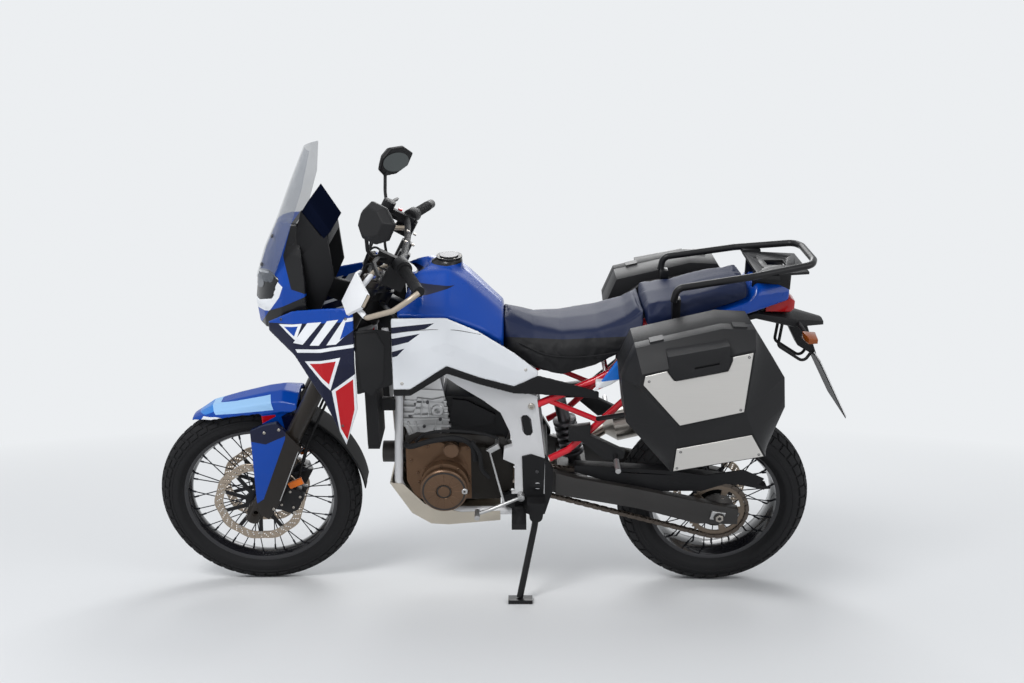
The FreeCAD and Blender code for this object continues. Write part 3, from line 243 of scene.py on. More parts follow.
# %% One method for any node
class Nodes:
    """Any node tree; add makes one node, and feed sets or links one socket."""
    def add(self, kind, settings=None, inputs=()):
        """One node: its settings first, then the values or links of its sockets, by place or name."""
        node = self.tree.nodes.new(kind)
        for key, value in (settings or {}).items():
            if key == "stops":
                ramp = node.color_ramp
                while len(ramp.elements) < len(value):
                    ramp.elements.new(0.5)
                for element, (at, colour) in zip(ramp.elements, value):
                    element.position, element.color = at, (*colour, 1.0)
            else:
                setattr(node, key, value)
        pairs = inputs.items() if isinstance(inputs, dict) else enumerate(inputs)
        for key, value in pairs:
            if value is not None:
                self.feed(node.inputs[key], value)
        return node

    def feed(self, socket, value):
        if isinstance(value, Value):
            self.tree.links.new(value.socket, socket)
        elif isinstance(value, bpy.types.NodeSocket):
            self.tree.links.new(value, socket)
        elif isinstance(value, (tuple, list)) and len(value) == 3 and socket.type == "RGBA":
            socket.default_value = (*value, 1.0)
        else:
            socket.default_value = value


print("a node is made by", Nodes.add.__name__, "and a socket set by", Nodes.feed.__name__)

# %% [markdown]
# A Finish is one material. It knows the machine's upright coordinates, so that paint can be parted
# by where a point lies on the real machine, and has short names for noise, mixing and bump. UV maps
# would be the usual way; solids from CAD have none, and coordinates need none.

# %% Finishes
class Finish(Nodes):
    def __init__(self, name):
        self.material = bpy.data.materials.new(name)
        self.material.use_nodes = True
        self.tree = self.material.node_tree
        self.shader = self.tree.nodes["Principled BSDF"]

    def set(self, **sockets):
        for key, value in sockets.items():
            self.feed(self.shader.inputs[key.replace("_", " ")], value)
        return self

    def coordinates(self, place=CHASSIS):
        """Object coordinates in millimetres of the machine's upright frame, as three values."""
        where = self.add("ShaderNodeTexCoord").outputs["Object"]
        back = place.inverted()
        spin = back.to_euler()
        mapping = self.add("ShaderNodeMapping", {"vector_type": "POINT"},
                           {"Vector": where, "Location": back.to_translation(), "Rotation": spin})
        split = self.add("ShaderNodeSeparateXYZ", {}, [mapping.outputs[0]])
        return [Value(self, split.outputs[k]) * 1000.0 for k in range(3)]

    def inside(self, x, z, *corners):
        """1 within a convex side-view outline of (x, z) corners, 0 outside."""
        pairs = zip(corners, corners[1:] + corners[:1])
        if sum(x0 * z1 - x1 * z0 for (x0, z0), (x1, z1) in pairs) > 0:
            corners = corners[::-1]
        mask = None
        for (x0, z0), (x1, z1) in zip(corners, corners[1:] + corners[:1]):
            side = ((z - z0) * (x1 - x0) - (x - x0) * (z1 - z0)) < 0.0
            mask = side if mask is None else mask * side
        return mask

    def paint(self, base, *layers):
        """Colours laid over a base, each where its mask is 1."""
        for mask, colour in layers:
            base = self.mix(mask, base, colour)
        return base

    def noise(self, scale, detail=2.0, rough=0.5):
        where = self.add("ShaderNodeTexCoord").outputs["Object"]
        node = self.add("ShaderNodeTexNoise", {}, {"Vector": where, "Scale": scale, "Detail": detail,
                                                    "Roughness": rough})
        return Value(self, node.outputs["Fac"])

    def mix(self, factor, first, second):
        node = self.add("ShaderNodeMix", {"data_type": "RGBA"},
                        {"Factor": factor, 6: first, 7: second})
        return node.outputs[2]

    def bump(self, height, strength, distance=0.001):
        node = self.add("ShaderNodeBump", {}, {"Height": height, "Strength": strength,
                                               "Distance": distance})
        return self.set(Normal=node.outputs[0])


print("upright origin in the world", [round(v, 4) for v in CHASSIS.to_translation()])

# %% [markdown]
# No real surface has one even colour. Each plain finish starts as two close tones on a soft noise,
# with a fine grain in its bump and a roughness that drifts a little, as handling and casting leave.
# Photographs of real surfaces would do it too, but noise has no seams and no size limit.

# %% Plain finishes
def plain(name, colour, roughness, metallic=0.0, coat=0.0, grain=600, depth=0.08, drift=0.12):
    f = Finish(name)
    cloud = f.noise(9, 3)
    dark = tuple(c * (1 - drift) for c in colour)
    light = tuple(min(1.0, c * (1 + drift)) for c in colour)
    f.set(Base_Color=f.mix(cloud, dark, light), Metallic=metallic, Coat_Weight=coat,
          Roughness=cloud * (roughness * 0.35) + roughness * 0.82)
    f.set(Coat_Roughness=0.04, Specular_IOR_Level=0.5 if metallic or coat > 0.5 else 0.2)
    if depth:
        f.bump(f.noise(grain, 2), depth, 0.0006)
    return f


print("a plain finish takes", plain.__code__.co_argcount, "values")

# %% [markdown]
# Things that repeat are made by Geometry Nodes. The piece's own mesh goes in, a row of points
# carries copies of it, round an axle or along a line, and the copies come out as real mesh with
# their material. The tree's inputs are named, and Python sets them by their identifiers.

# %% The repeating tree
class Shape(Nodes):
    def __init__(self, name, **inputs):
        self.tree = bpy.data.node_groups.new(name, "GeometryNodeTree")
        face = self.tree.interface
        face.new_socket("Geometry", in_out="INPUT", socket_type="NodeSocketGeometry")
        face.new_socket("Geometry", in_out="OUTPUT", socket_type="NodeSocketGeometry")
        self.ids = {}
        for key, kind in inputs.items():
            socket = face.new_socket(key, in_out="INPUT", socket_type="NodeSocket" + kind)
            self.ids[key] = socket.identifier
        self.start = self.tree.nodes.new("NodeGroupInput")

    def end(self, geometry):
        real = self.add("GeometryNodeRealizeInstances", {}, [geometry])
        dressed = self.add("GeometryNodeSetMaterial", {},
                           {"Geometry": real.outputs[0], "Material": self.start.outputs["Material"]})
        self.tree.links.new(dressed.outputs[0], self.tree.nodes.new("NodeGroupOutput").inputs[0])

    def on(self, obj, **values):
        """Runs the tree on an object and leaves the result as its plain mesh."""
        modifier = obj.modifiers.new("repeat", "NODES")
        modifier.node_group = self.tree
        for key, value in values.items():
            modifier[self.ids[key]] = value
        return applied(obj)


def repeating_tree():
    """Copies turned about the object's Y axis by Turn, and stepped by Step, Count times."""
    s = Shape("repeat", Count="Int", Turn="Float", Step="Vector", Material="Material")
    row = s.add("GeometryNodeMeshLine", {}, {"Count": s.start.outputs["Count"],
                                             "Offset": s.start.outputs["Step"]})
    turn = Value(s, s.add("GeometryNodeInputIndex").outputs[0]) * s.start.outputs["Turn"]
    spin = s.add("ShaderNodeCombineXYZ", {}, {"Y": turn})
    copies = s.add("GeometryNodeInstanceOnPoints", {}, {
        "Points": row.outputs[0], "Instance": s.start.outputs["Geometry"], "Rotation": spin.outputs[0]})
    s.end(copies.outputs[0])
    return s


REPEAT = repeating_tree()


def repeated(obj, material, count, turn=None, step=(0, 0, 0)):
    turn = math.tau / count if turn is None else turn
    return REPEAT.on(obj, Count=count, Turn=turn, Step=step, Material=material)


print("repeating tree", len(REPEAT.tree.nodes), "nodes")

# %% [markdown]
# A few makers cover most forms. The first two turn a list of points into a mesh and carry it from
# its own centre to its place on the leaning machine; loose corners are joined and faces turned
# outwards there, once for all.

# %% Makers of form
def from_points(name, points, faces, scale=0.001):
    mesh = bpy.data.meshes.new(name)
    mesh.from_pydata([Vector(p) * scale for p in points], [], faces)
    mesh.update()
    return link(bpy.data.objects.new(name, mesh))


def put(obj, place, centre=(0, 0, 0), degrees=30):
    """Carries a mesh made round its own centre into its place, with its faces outwards."""
    obj.data.transform(place @ Matrix.Translation(Vector(centre)))
    work = bmesh.new()
    work.from_mesh(obj.data)
    bmesh.ops.remove_doubles(work, verts=work.verts, dist=0.00001)
    bmesh.ops.recalc_face_normals(work, faces=work.faces)
    work.to_mesh(obj.data)
    work.free()
    rounded_shading(obj.data, degrees)
    return obj


print("points are in mm, meshes in m: scale", from_points.__defaults__[0])

# %% [markdown]
# Hubs, rims, tyres, discs' carriers, screws and caps are turned on a lathe, or look so. A closed
# profile of (radius, y) points is carried round the y axis. The Screw modifier could do it; a loop
# keeps the profile and the mesh in one readable place.

# %% Turned forms
def lathed(name, profile, steps=96):
    """A closed (radius, y) profile turned about the y axis, in millimetres."""
    points, faces, n = [], [], len(profile)
    for k in range(steps):
        a = math.tau * k / steps
        points += [(r * math.cos(a), y, r * math.sin(a)) for r, y in profile]
        for i in range(n):
            j = (i + 1) % n
            k2 = (k + 1) % steps
            faces.append((k * n + i, k * n + j, k2 * n + j, k2 * n + i))
    return from_points(name, points, faces)


print("turned forms by default have", lathed.__defaults__[0], "steps")

# %% [markdown]
# Chain plates, brackets and badges are cut from sheet. A filled 2-D curve takes an outline with any
# number of holes and gives the thickness and the broken edge at once, where a mesh would need its
# holes cut one by one.

# %% Flat plates
def plate(name, outlines, thickness, edge=0.5):
    """Flat (x, z) outlines in millimetres, the first solid and the others holes, made thick in y."""
    curve = bpy.data.curves.new(name, "CURVE")
    curve.dimensions, curve.fill_mode = "2D", "BOTH"
    curve.extrude = (thickness / 2 - edge) / 1000
    curve.bevel_depth, curve.bevel_resolution = edge / 1000, 0
    curve.offset = -edge / 1000
    for outline in outlines:
        spline = curve.splines.new("POLY")
        spline.points.add(len(outline) - 1)
        for point, (x, z) in zip(spline.points, outline):
            point.co = (x / 1000, z / 1000, 0, 1)
        spline.use_cyclic_u = True
    flat = link(bpy.data.objects.new(name, curve))
    graph = bpy.context.evaluated_depsgraph_get()
    mesh = bpy.data.meshes.new_from_object(flat.evaluated_get(graph))
    bpy.data.objects.remove(flat)
    mesh.transform(Matrix.Rotation(math.radians(90), 4, "X"))
    return link(bpy.data.objects.new(name, mesh))


def polar(r, angle, x=0, z=0):
    return x + r * math.cos(angle), z + r * math.sin(angle)


def circle(r, x=0, z=0, n=24, turn=0.0):
    return [polar(r, math.tau * k / n + turn, x, z) for k in range(n)]


print("a circle of 24 corners starts at", circle(1)[0])

# %% [markdown]
# Spokes, hoses, cables and pins are round bars on a smooth line. The line runs through its points
# as a Catmull-Rom spline, and a ring of corners is carried along it without twist. Both ends are
# closed, because open tubes show as paper.

# %% Bars and tubes
def bar(name, path, radius, sides=12, per=6):
    """A round bar on a smooth line through the points, in millimetres."""
    pts = [Vector(p) for p in path]
    line = []
    for i in range(len(pts) - 1):
        a, b = pts[i], pts[i + 1]
        before = pts[i - 1] if i else a - (b - a)
        after = pts[i + 2] if i + 2 < len(pts) else b + (b - a)
        for k in range(per if i + 2 < len(pts) else per + 1):
            t = k / per
            line.append(0.5 * ((2 * a) + (b - before) * t + (2 * before - 5 * a + 4 * b - after) * t * t
                               + (3 * a - before - 3 * b + after) * t ** 3))
    points, faces = [], []
    normal = None
    for i, p in enumerate(line):
        along = (line[min(i + 1, len(line) - 1)] - line[max(i - 1, 0)]).normalized()
        if normal is None:
            normal = along.orthogonal().normalized()
        normal = (normal - along * normal.dot(along)).normalized()
        side = along.cross(normal)
        for k in range(sides):
            a = math.tau * k / sides
            points.append(p + (normal * math.cos(a) + side * math.sin(a)) * radius)
        if i:
            for k in range(sides):
                j = (k + 1) % sides
                faces.append(((i - 1) * sides + k, (i - 1) * sides + j, i * sides + j, i * sides + k))
    last = (len(line) - 1) * sides
    faces.append(tuple(range(sides))[::-1])
    faces.append(tuple(range(last, last + sides)))
    return from_points(name, points, faces)


def joined(name, objects):
    """Several meshes of one finish and one body, made one piece."""
    work = bmesh.new()
    for obj in objects:
        work.from_mesh(obj.data)
        bpy.data.objects.remove(obj)
    mesh = bpy.data.meshes.new(name)
    work.to_mesh(mesh)
    work.free()
    return link(bpy.data.objects.new(name, mesh))


print("a bar by default has", bar.__defaults__[0], "sides")

# %% [markdown]
# Paint, rubber, plastic and bare metal differ more in roughness than in colour. The blacks are kept
# apart on purpose: tyres are dull, case plastic has a grain, frame paint is smoother. Alloy, steel
# and the warm bronze of the engine's covers are metallic, with their own tint.

# %% The colours and plain finishes of the machine
BLUE = (0.0, 0.05, 0.33)
NAVY = (0.003, 0.005, 0.026)
WHITE = (0.78, 0.8, 0.83)
RED = (0.46, 0.004, 0.010)

rubber = plain("rubber", (0.012, 0.012, 0.013), 0.75, grain=900, depth=0.3)
black_paint = plain("black_paint", (0.009, 0.009, 0.010), 0.36, coat=0.1)
fork_paint = plain("fork_paint", (0.02, 0.016, 0.013), 0.36, coat=0.1)
black_plastic = plain("black_plastic", (0.009, 0.009, 0.010), 0.52, grain=1500, depth=0.35)
case_plastic = plain("case_plastic", (0.013, 0.013, 0.014), 0.48, grain=1300, depth=0.4)
cobalt = plain("cobalt", BLUE, 0.28, coat=0.3, depth=0, drift=0.05)
frame_paint = plain("frame_paint", (0.66, 0.66, 0.67), 0.36, metallic=0.1, coat=0.3, depth=0.1)
swingarm_paint = plain("swingarm_paint", (0.028, 0.026, 0.025), 0.42, metallic=0.2, depth=0.15)
red_paint = plain("red_paint", (0.55, 0.008, 0.02), 0.3, coat=0.5, depth=0)
mirror_silver = plain("mirror_silver", (0.09, 0.1, 0.1), 0.08, metallic=1.0, depth=0)
bronze = plain("bronze_paint", (0.13, 0.076, 0.045), 0.36, metallic=0.6, depth=0.2, drift=0.25)
engine_dark = plain("engine_dark", (0.02, 0.017, 0.015), 0.45, metallic=0.2, depth=0.3)
cast_alloy = plain("cast_alloy", (0.5, 0.5, 0.5), 0.42, metallic=0.9, depth=0.35)
plate_alloy = plain("plate_alloy", (0.56, 0.51, 0.43), 0.4, metallic=0.85, depth=0.15)
steel = plain("steel", (0.45, 0.42, 0.38), 0.3, metallic=1.0, depth=0.1)
dark_steel = plain("dark_steel", (0.1, 0.1, 0.105), 0.35, metallic=0.9, depth=0.1)
pipe = plain("pipe_steel", (0.33, 0.28, 0.24), 0.3, metallic=1.0, depth=0.05)
plate_white = plain("plate_white", (0.8, 0.8, 0.8), 0.5, depth=0)
red_lens = plain("red_lens", (0.36, 0.004, 0.006), 0.15, coat=0.3, depth=0)
amber_lens = plain("amber_lens", (0.75, 0.16, 0.004), 0.2, coat=0.4, depth=0)
smoked_amber = plain("smoked_amber", (0.22, 0.05, 0.004), 0.2, coat=0.4, depth=0)
glass_black = plain("display_glass", (0.004, 0.006, 0.016), 0.6, depth=0).set(Specular_IOR_Level=0.0)
lamp_glass = plain("lamp_glass", (0.012, 0.013, 0.015), 0.15, coat=0.3, depth=0)

screen_clear = Finish("screen_clear").set(Base_Color=(0.2, 0.22, 0.25), Roughness=0.04, Alpha=0.3,
                                          Specular_IOR_Level=0.3)
print("finishes", len(bpy.data.materials))

# %% [markdown]
# Many pieces sit on another one: an alloy panel on a lid, a screw in a cover. Typed depths would
# float or sink as soon as the solid changes. Their place is found instead by a straight line from
# outside that meets the solid.

# %% Points on a surface
SURFACES = {}


def surface(node, place):
    """The faces of a CAD node in millimetres of one upright frame, ready for lines to meet them."""
    key = (node, place is FORK)
    if key not in SURFACES:
        source = NODES[node]
        back = place.inverted() @ source.matrix_world
        points = [(back @ v.co) * 1000 for v in source.data.vertices]
        SURFACES[key] = BVHTree.FromPolygons(points, [tuple(p.vertices) for p in source.data.polygons])
    return SURFACES[key]


def touch(node, place, u, v, side=-1, axis=1):
    """Where a line along one axis first meets a node, and the direction that faces out there."""
    start, way = [u, v], [0, 0]
    start.insert(axis, side * 3000)
    way.insert(axis, -side)
    point, normal, _, _ = surface(node, place).ray_cast(Vector(start), Vector(way))
    if point is None:
        return None, Vector(way) * -1
    return point, normal if normal.dot(Vector(way)) < 0 else -normal


low_corner = touch("lid_left", CHASSIS, 1450, 870)[0]
print("left lid is met at y", round(low_corner.y, 1))

# %% [markdown]
# A panel on a curved side has to follow it. The outline is cut into small cells, each corner is
# dropped onto the surface, and the sheet gets its thickness outwards. A Shrinkwrap modifier pulls
# corners sideways at steep places; straight lines keep the outline as drawn in the side view.

# %% Plates over curved sides
def overlay(name, node, place, outline, thick=1.4, side=-1, axis=1, cell=14, edge=0.5):
    """A plate cut to an outline and laid over the curved side of a node."""
    work = bmesh.new()
    corners = []
    for pair in outline:
        at = list(pair)
        at.insert(axis, 0)
        corners.append(work.verts.new(at))
    work.faces.new(corners)
    bmesh.ops.triangulate(work, faces=work.faces[:], ngon_method="EAR_CLIP")
    others = [i for i in range(3) if i != axis]
    for k, direction in enumerate(others):
        reach = [pair[k] for pair in outline]
        at = min(reach) + cell
        while at < max(reach):
            on, way = [0, 0, 0], [0, 0, 0]
            on[direction], way[direction] = at, 1
            bmesh.ops.bisect_plane(work, geom=work.verts[:] + work.edges[:] + work.faces[:],
                                   plane_co=on, plane_no=way)
            at += cell
    a, b = others
    found = {v: touch(node, place, v.co[a], v.co[b], side, axis)[0] for v in work.verts}
    depths = sorted(side * p[axis] for p in found.values() if p)
    middle = depths[len(depths) // 2] * side
    for v, point in found.items():
        v.co[axis] = (point[axis] if point else middle) - side * 0.6
    bmesh.ops.recalc_face_normals(work, faces=work.faces)
    if sum(f.normal[axis] for f in work.faces) * side < 0:
        bmesh.ops.reverse_faces(work, faces=work.faces)
    work.transform(place @ Matrix.Scale(0.001, 4))
    mesh = bpy.data.meshes.new(name)
    work.to_mesh(mesh)
    work.free()
    obj = link(bpy.data.objects.new(name, mesh))
    thickness = obj.modifiers.new("thickness", "SOLIDIFY")
    thickness.thickness, thickness.offset = (thick + 0.6) / 1000, 1.0
    if edge:
        bevel = obj.modifiers.new("edge", "BEVEL")
        bevel.width, bevel.segments, bevel.limit_method = edge / 1000, 1, "ANGLE"
        bevel.angle_limit = math.radians(50)
    applied(obj)
    rounded_shading(obj.data, 32)
    return obj


print("surfaces read so far", len(SURFACES))

# %% [markdown]
# Dozens of screws hold a real machine's panels, and they give the eye its scale. A screw is one
# small turned head. The tree sets it on every point of a mesh, and turns it to the direction that
# the point carries.

# %% Fasteners
def fastener_tree():
    s = Shape("fasteners", Screw="Object", Material="Material")
    head = s.add("GeometryNodeObjectInfo", {}, {"Object": s.start.outputs["Screw"]})
    facing = s.add("GeometryNodeInputNamedAttribute", {"data_type": "FLOAT_VECTOR"}, ["facing"])
    spin = s.add("FunctionNodeAxesToRotation", {"primary_axis": "Y", "secondary_axis": "X"},
                 {"Primary Axis": facing.outputs[0], "Secondary Axis": (0.8, 0.1, 0.6)})
    copies = s.add("GeometryNodeInstanceOnPoints", {}, {
        "Points": s.start.outputs["Geometry"], "Instance": head.outputs["Geometry"],
        "Rotation": spin.outputs[0]})
    s.end(copies.outputs[0])
    return s


FASTENERS = fastener_tree()


print("fastener tree", len(FASTENERS.tree.nodes), "nodes")

# %% [markdown]
# One call makes all screws of a panel as one piece. The spots come from lines that meet the solid,
# so each head stands square on the surface where it is.

# %% Screws on their spots
def screws(name, body, place, spots, radius, finish, slot, height=3.0, sides=12):
    """Screw heads on (point, direction) spots in millimetres."""
    spots = [(p, d) for p, d in spots if p is not None]
    profile = [(radius, -1.5), (radius, height - 0.6), (radius - 0.6, height), (radius * 0.52, height),
               (radius * 0.46, height - radius * 0.45), (0.02, height - radius * 0.45), (0.02, -1.5)]
    head = lathed(name + "_head", profile, sides)
    mesh = bpy.data.meshes.new(name)
    mesh.from_pydata([Vector(p) / 1000 for p, _ in spots], [], [])
    facing = mesh.attributes.new("facing", "FLOAT_VECTOR", "POINT")
    for k, (_, direction) in enumerate(spots):
        facing.data[k].vector = Vector(direction).normalized()
    obj = link(bpy.data.objects.new(name, mesh))
    FASTENERS.on(obj, Screw=head, Material=finish.material)
    bpy.data.objects.remove(head)
    put(obj, place, (0, 0, 0), 35)
    return set_piece(obj, body, finish.material, slot)


def on_side(node, pairs, place=CHASSIS, side=-1):
    return [touch(node, place, x, z, side) for x, z in pairs]


def turned_piece(name, body, place, centre, profile, finish, slot, steps=48):
    """A round cover or boss on a side: (radius, y) from its centre in millimetres."""
    obj = put(lathed(name, profile, steps), place, Vector(centre) / 1000)
    return set_piece(obj, body, finish.material, slot)


print("a spot on the tank", [round(v) for v in on_side("fuel_tank", [(640, 1080)])[0][0]])

# %% [markdown]
# The painted panels carry flat graphics: bands, slashes and darts of white, navy and red, in a
# layout of their own. Each is an outline in the side view, tested in the shader, so that its edge
# stays sharp at any distance. A painted image would need UV maps and blur up close.

# %% Painted panels
# The two sky tints are painted reflections of the sky: lighter blue bands laid over the fender's top.
SKY = (0.03, 0.2, 0.6)
PALE_SKY = (0.3, 0.52, 0.8)
BLACK = (0.010, 0.010, 0.011)


def livery(name, base, place, *layers, coat=0.15, roughness=0.28, matte=None):
    """Gloss paint with convex outlines laid over it in turn; matte outlines bare plastic."""
    f = Finish(name)
    x, y, z = f.coordinates(place)
    colour = base
    for tint, *outlines in layers:
        mask = None
        for outline in outlines:
            one = f.inside(x, z, *outline)
            mask = one if mask is None else mask.most(one)
        colour = f.mix(mask, colour, tint)
    cloud = f.noise(7, 3)
    shade = f.add("ShaderNodeMix", {"data_type": "RGBA", "blend_type": "MULTIPLY"},
                  {"Factor": 1.0, 6: colour, 7: f.mix(cloud, (0.93, 0.93, 0.93), (1.0, 1.0, 1.0))})
    gloss = cloud * 0.08 + (roughness - 0.04)
    f.set(Base_Color=shade.outputs[2], Roughness=gloss, Coat_Weight=coat)
    if matte:
        dull = f.inside(x, z, *matte)
        f.set(Roughness=dull * 0.45 + gloss, Coat_Weight=(1.0 - dull) * coat)
    f.set(Specular_IOR_Level=0.22, Coat_Roughness=0.05)
    return f


print("tints", SKY, PALE_SKY, BLACK)

# %% [markdown]
# The cowls carry most of the pattern, the fender and the fork guards turn with the bars and so are
# painted in the steering's own coordinates. Later outlines lie over earlier ones, as stencils do. The
# fender's pale and light blue bands are painted reflections of the sky, and the navy on top of the
# fork guards is painted shadow.

# %% The panels of the front
cowl_paint = livery(
    "cowl_paint", BLUE, CHASSIS,
    (WHITE, [(150, 1096), (217, 1127), (420, 1133), (420, 1126), (219, 1119), (156, 1088)]),
    (NAVY, [(90, 1052), (254, 1072), (420, 1100), (420, 640), (340, 640)]),
    (WHITE, [(152, 1052), (232, 1068), (210, 1012)],
     [(250, 1072), (296, 1081), (232, 1004), (200, 1004)],
     [(314, 1085), (350, 1092), (286, 1010), (256, 1006)],
     [(368, 1096), (420, 1107), (420, 1090), (340, 1016), (310, 1012)],
     [(206, 984), (420, 1024), (420, 1014), (212, 974)], [(236, 950), (352, 976), (314, 864)],
     [(318, 862), (420, 944), (420, 838), (356, 650), (336, 700)]),
    (BLUE, [(170, 1048), (218, 1058), (205, 1026)],
     [(372, 1086), (420, 1096), (420, 1080), (352, 1030)]),
    (RED, [(252, 945), (338, 964), (311, 884)],
     [(330, 861), (388, 906), (386, 800), (356, 690), (338, 730)]))
# The fender's pale band and the light blue at its front are painted sky reflections over the blue paint.
fender_paint = livery(
    "fender_paint", BLUE, STEERING,
    (PALE_SKY, [(-129, 711), (71, 752), (84, 714), (-112, 690)]),
    (WHITE, [(-150, 689), (-112, 683), (96, 704), (108, 690), (10, 634), (-60, 640), (-175, 652)]),
    (RED, [(0, 688), (88, 697), (90, 691), (10, 646), (-34, 650)]),
    (SKY, [(-210, 690), (-129, 711), (-112, 690), (-150, 684), (-200, 660)]),
    (NAVY, [(92, 790), (460, 790), (460, 380), (20, 380), (0, 628), (108, 690)]),
    (BLACK, [(168, 790), (460, 790), (460, 300), (120, 300)]),
    matte=[(168, 790), (460, 790), (460, 300), (120, 300)])
# On the fork guards, the navy band across the top is painted shadow over the blue.
guard_paint = livery(
    "guard_paint", (0.016, 0.013, 0.011), STEERING,
    (BLUE, [(-10, 720), (136, 720), (127, 641), (36, 412), (-10, 380)]),
    (NAVY, [(-10, 720), (136, 720), (128, 652), (62, 622), (-10, 640)]))
nose_paint = livery(
    "nose_paint", BLUE, CHASSIS,
    (WHITE, [(40, 1186), (112, 1206), (168, 1166), (152, 1128), (112, 1074), (40, 1060)]),
    (BLACK, [(112, 1076), (150, 1130), (196, 1158), (330, 1158), (330, 1000), (40, 1000), (60, 1050)],
     [(200, 1365), (330, 1365), (330, 1120), (196, 1160), (172, 1260)]))


print("painted fronts", [f.material.name for f in (cowl_paint, fender_paint, guard_paint, nose_paint)])

# %% [markdown]
# Behind the cowls the machine is white and blue: the side panels with navy darts, the tank with a
# navy flash and a black top, and the small covers under the seat with a red line.

# %% The panels of the middle and rear
panel_paint = livery(
    "panel_paint", WHITE, CHASSIS,
    (NAVY, [(500, 1066), (640, 1078), (612, 1060), (500, 1046)],
     [(500, 1030), (596, 1046), (560, 1020), (500, 1006)],
     [(500, 988), (548, 1000), (524, 976), (500, 970)]))
tank_paint = livery(
    "tank_paint", BLUE, CHASSIS,
    (NAVY, [(500, 1150), (560, 1172), (700, 1160), (620, 1142), (500, 1128)]),
    (BLACK, [(560, 1204), (780, 1204), (780, 1260), (560, 1260)]))
cover_paint = livery(
    "rear_cover_paint", (0.01, 0.16, 0.62), CHASSIS,
    (WHITE, [(1100, 852), (1300, 882), (1300, 800), (1100, 800)]),
    (RED, [(1150, 838), (1300, 864), (1300, 846), (1160, 822)]))


print("painted rears", [f.material.name for f in (panel_paint, tank_paint, cover_paint)])

# %% [markdown]
# Some solids are of one piece in CAD but of two tones: the seat has black sides and a blue-black
# top, which is a painted sheen of the sky on the black leather, and the frame is pale in the middle
# and black at its ends, as its paint is. A mask of upright coordinates parts them, which leaves the
# solid whole.

# %% Two finishes on one piece
def two_tone(name, body_colour, other, roughness, mask_of, metallic=(0.0, 0.0), depth=0.1):
    """Two finishes on one piece, parted by a mask of its upright coordinates."""
    f = Finish(name)
    mask = mask_of(*f.coordinates())
    cloud = f.noise(11, 3)
    blend = f.mix(mask, body_colour, other)
    tone = f.add("ShaderNodeMix", {"data_type": "RGBA", "blend_type": "MULTIPLY"},
                 {"Factor": 1.0, 6: blend, 7: f.mix(cloud, (0.88, 0.88, 0.88), (1.0, 1.0, 1.0))})
    even = metallic[0] == metallic[1]
    f.set(Base_Color=tone.outputs[2],
          Metallic=metallic[0] if even else mask * (metallic[1] - metallic[0]) + metallic[0],
          Roughness=mask * (roughness[1] - roughness[0]) + cloud * 0.1 + (roughness[0] - 0.05))
    f.set(Specular_IOR_Level=0.2)
    f.bump(f.noise(900, 2), depth, 0.0005)
    return f


def guard_material():
    """The left shell is white outside, the bars are bare alloy, and the rest is black."""
    f = Finish("hand_guard_finish")
    a, y, t = f.coordinates(FORK)
    shell = (a < -52.0) * (y > -402.0) * (y < -232.0)
    arm = (abs(y) > 404.0).most(abs(y) < 234.0)
    colour = f.paint((0.010, 0.010, 0.011), (shell, (0.72, 0.73, 0.75)), (arm, (0.42, 0.36, 0.29)))
    f.set(Base_Color=colour, Metallic=arm * 0.6, Roughness=0.36 + f.noise(14) * 0.1)
    f.set(Specular_IOR_Level=0.35)
    f.bump(f.noise(900, 2), 0.1, 0.0005)
    return f


guard_finish = guard_material()
# The seat's blue-black top is painted sheen: a sky reflection laid into the black leather's colour.
seat_finish = two_tone(
    "seat_leather_and_sheen", (0.008, 0.008, 0.009), (0.006, 0.012, 0.042), (0.56, 0.5),
    lambda x, y, z: (abs(y) * 0.42 + ((x - 1290.0).most(0.0) * 0.25 + 1105.0 - z))
    < (abs(x - 1040.0) * -0.05 + 175.0), depth=0.5)
frame_finish = two_tone(
    "frame_paint", (0.66, 0.66, 0.67), (0.010, 0.010, 0.011), (0.36, 0.42),
    lambda x, y, z: (x > 984.0).most((z < 432.0) * (x > 820.0)).most((x < 636.0) * (z > 860.0)),
    metallic=(0.12, 0.0))
covers_finish = two_tone(
    "engine_cover_paint", (0.13, 0.076, 0.045), (0.014, 0.012, 0.010), (0.36, 0.45),
    lambda x, y, z: (x > 739.0).most(y > 0.0), metallic=(0.6, 0.2), depth=0.25)
peg_finish = two_tone(
    "peg_finish", (0.016, 0.016, 0.017), (0.5, 0.5, 0.5), (0.4, 0.35),
    lambda x, y, z: (abs(y) > 196.0) * (x > 1000.0), metallic=(0.2, 0.9))


print("finishes", len(bpy.data.materials))

# %% [markdown]
# The case lids wear brushed alloy. Brushing leaves fine lines one way, so noise stretched along one
# axis gives them to the roughness and the bump; the highlight then runs across the lines, as on
# real sheet.

# %% Brushed panels
def brushed(name, colour, roughness):
    f = Finish(name)
    x, y, z = f.coordinates()
    vector = f.add("ShaderNodeCombineXYZ", {}, [x * 0.012, y * 0.5, z * 1.2])
    node = f.add("ShaderNodeTexNoise", {}, {"Vector": vector.outputs[0], "Scale": 1.0, "Detail": 4.0})
    lines = Value(f, node.outputs["Fac"])
    f.set(Base_Color=f.mix(lines, tuple(c * 0.88 for c in colour), colour), Metallic=0.85,
          Roughness=lines * 0.16 + roughness)
    f.bump(lines, 0.12, 0.0004)
    return f


lid_alloy = brushed("lid_alloy", (0.66, 0.64, 0.61), 0.34)
print("brushed finish", len(lid_alloy.tree.nodes), "nodes")

# %% [markdown]
# The tyres of such a machine are half road, half gravel: big blocks in rows with wide grooves. A
# bump map would leave the outline smooth, and the outline is what shows. So each tyre is a turned
# carcass with a crown of the real radius, and the tread stands on it as separate blocks. Only one
# pitch is modelled, and repeated.

# %% Tread blocks
def lerp(a, b, t):
    return a + (b - a) * t


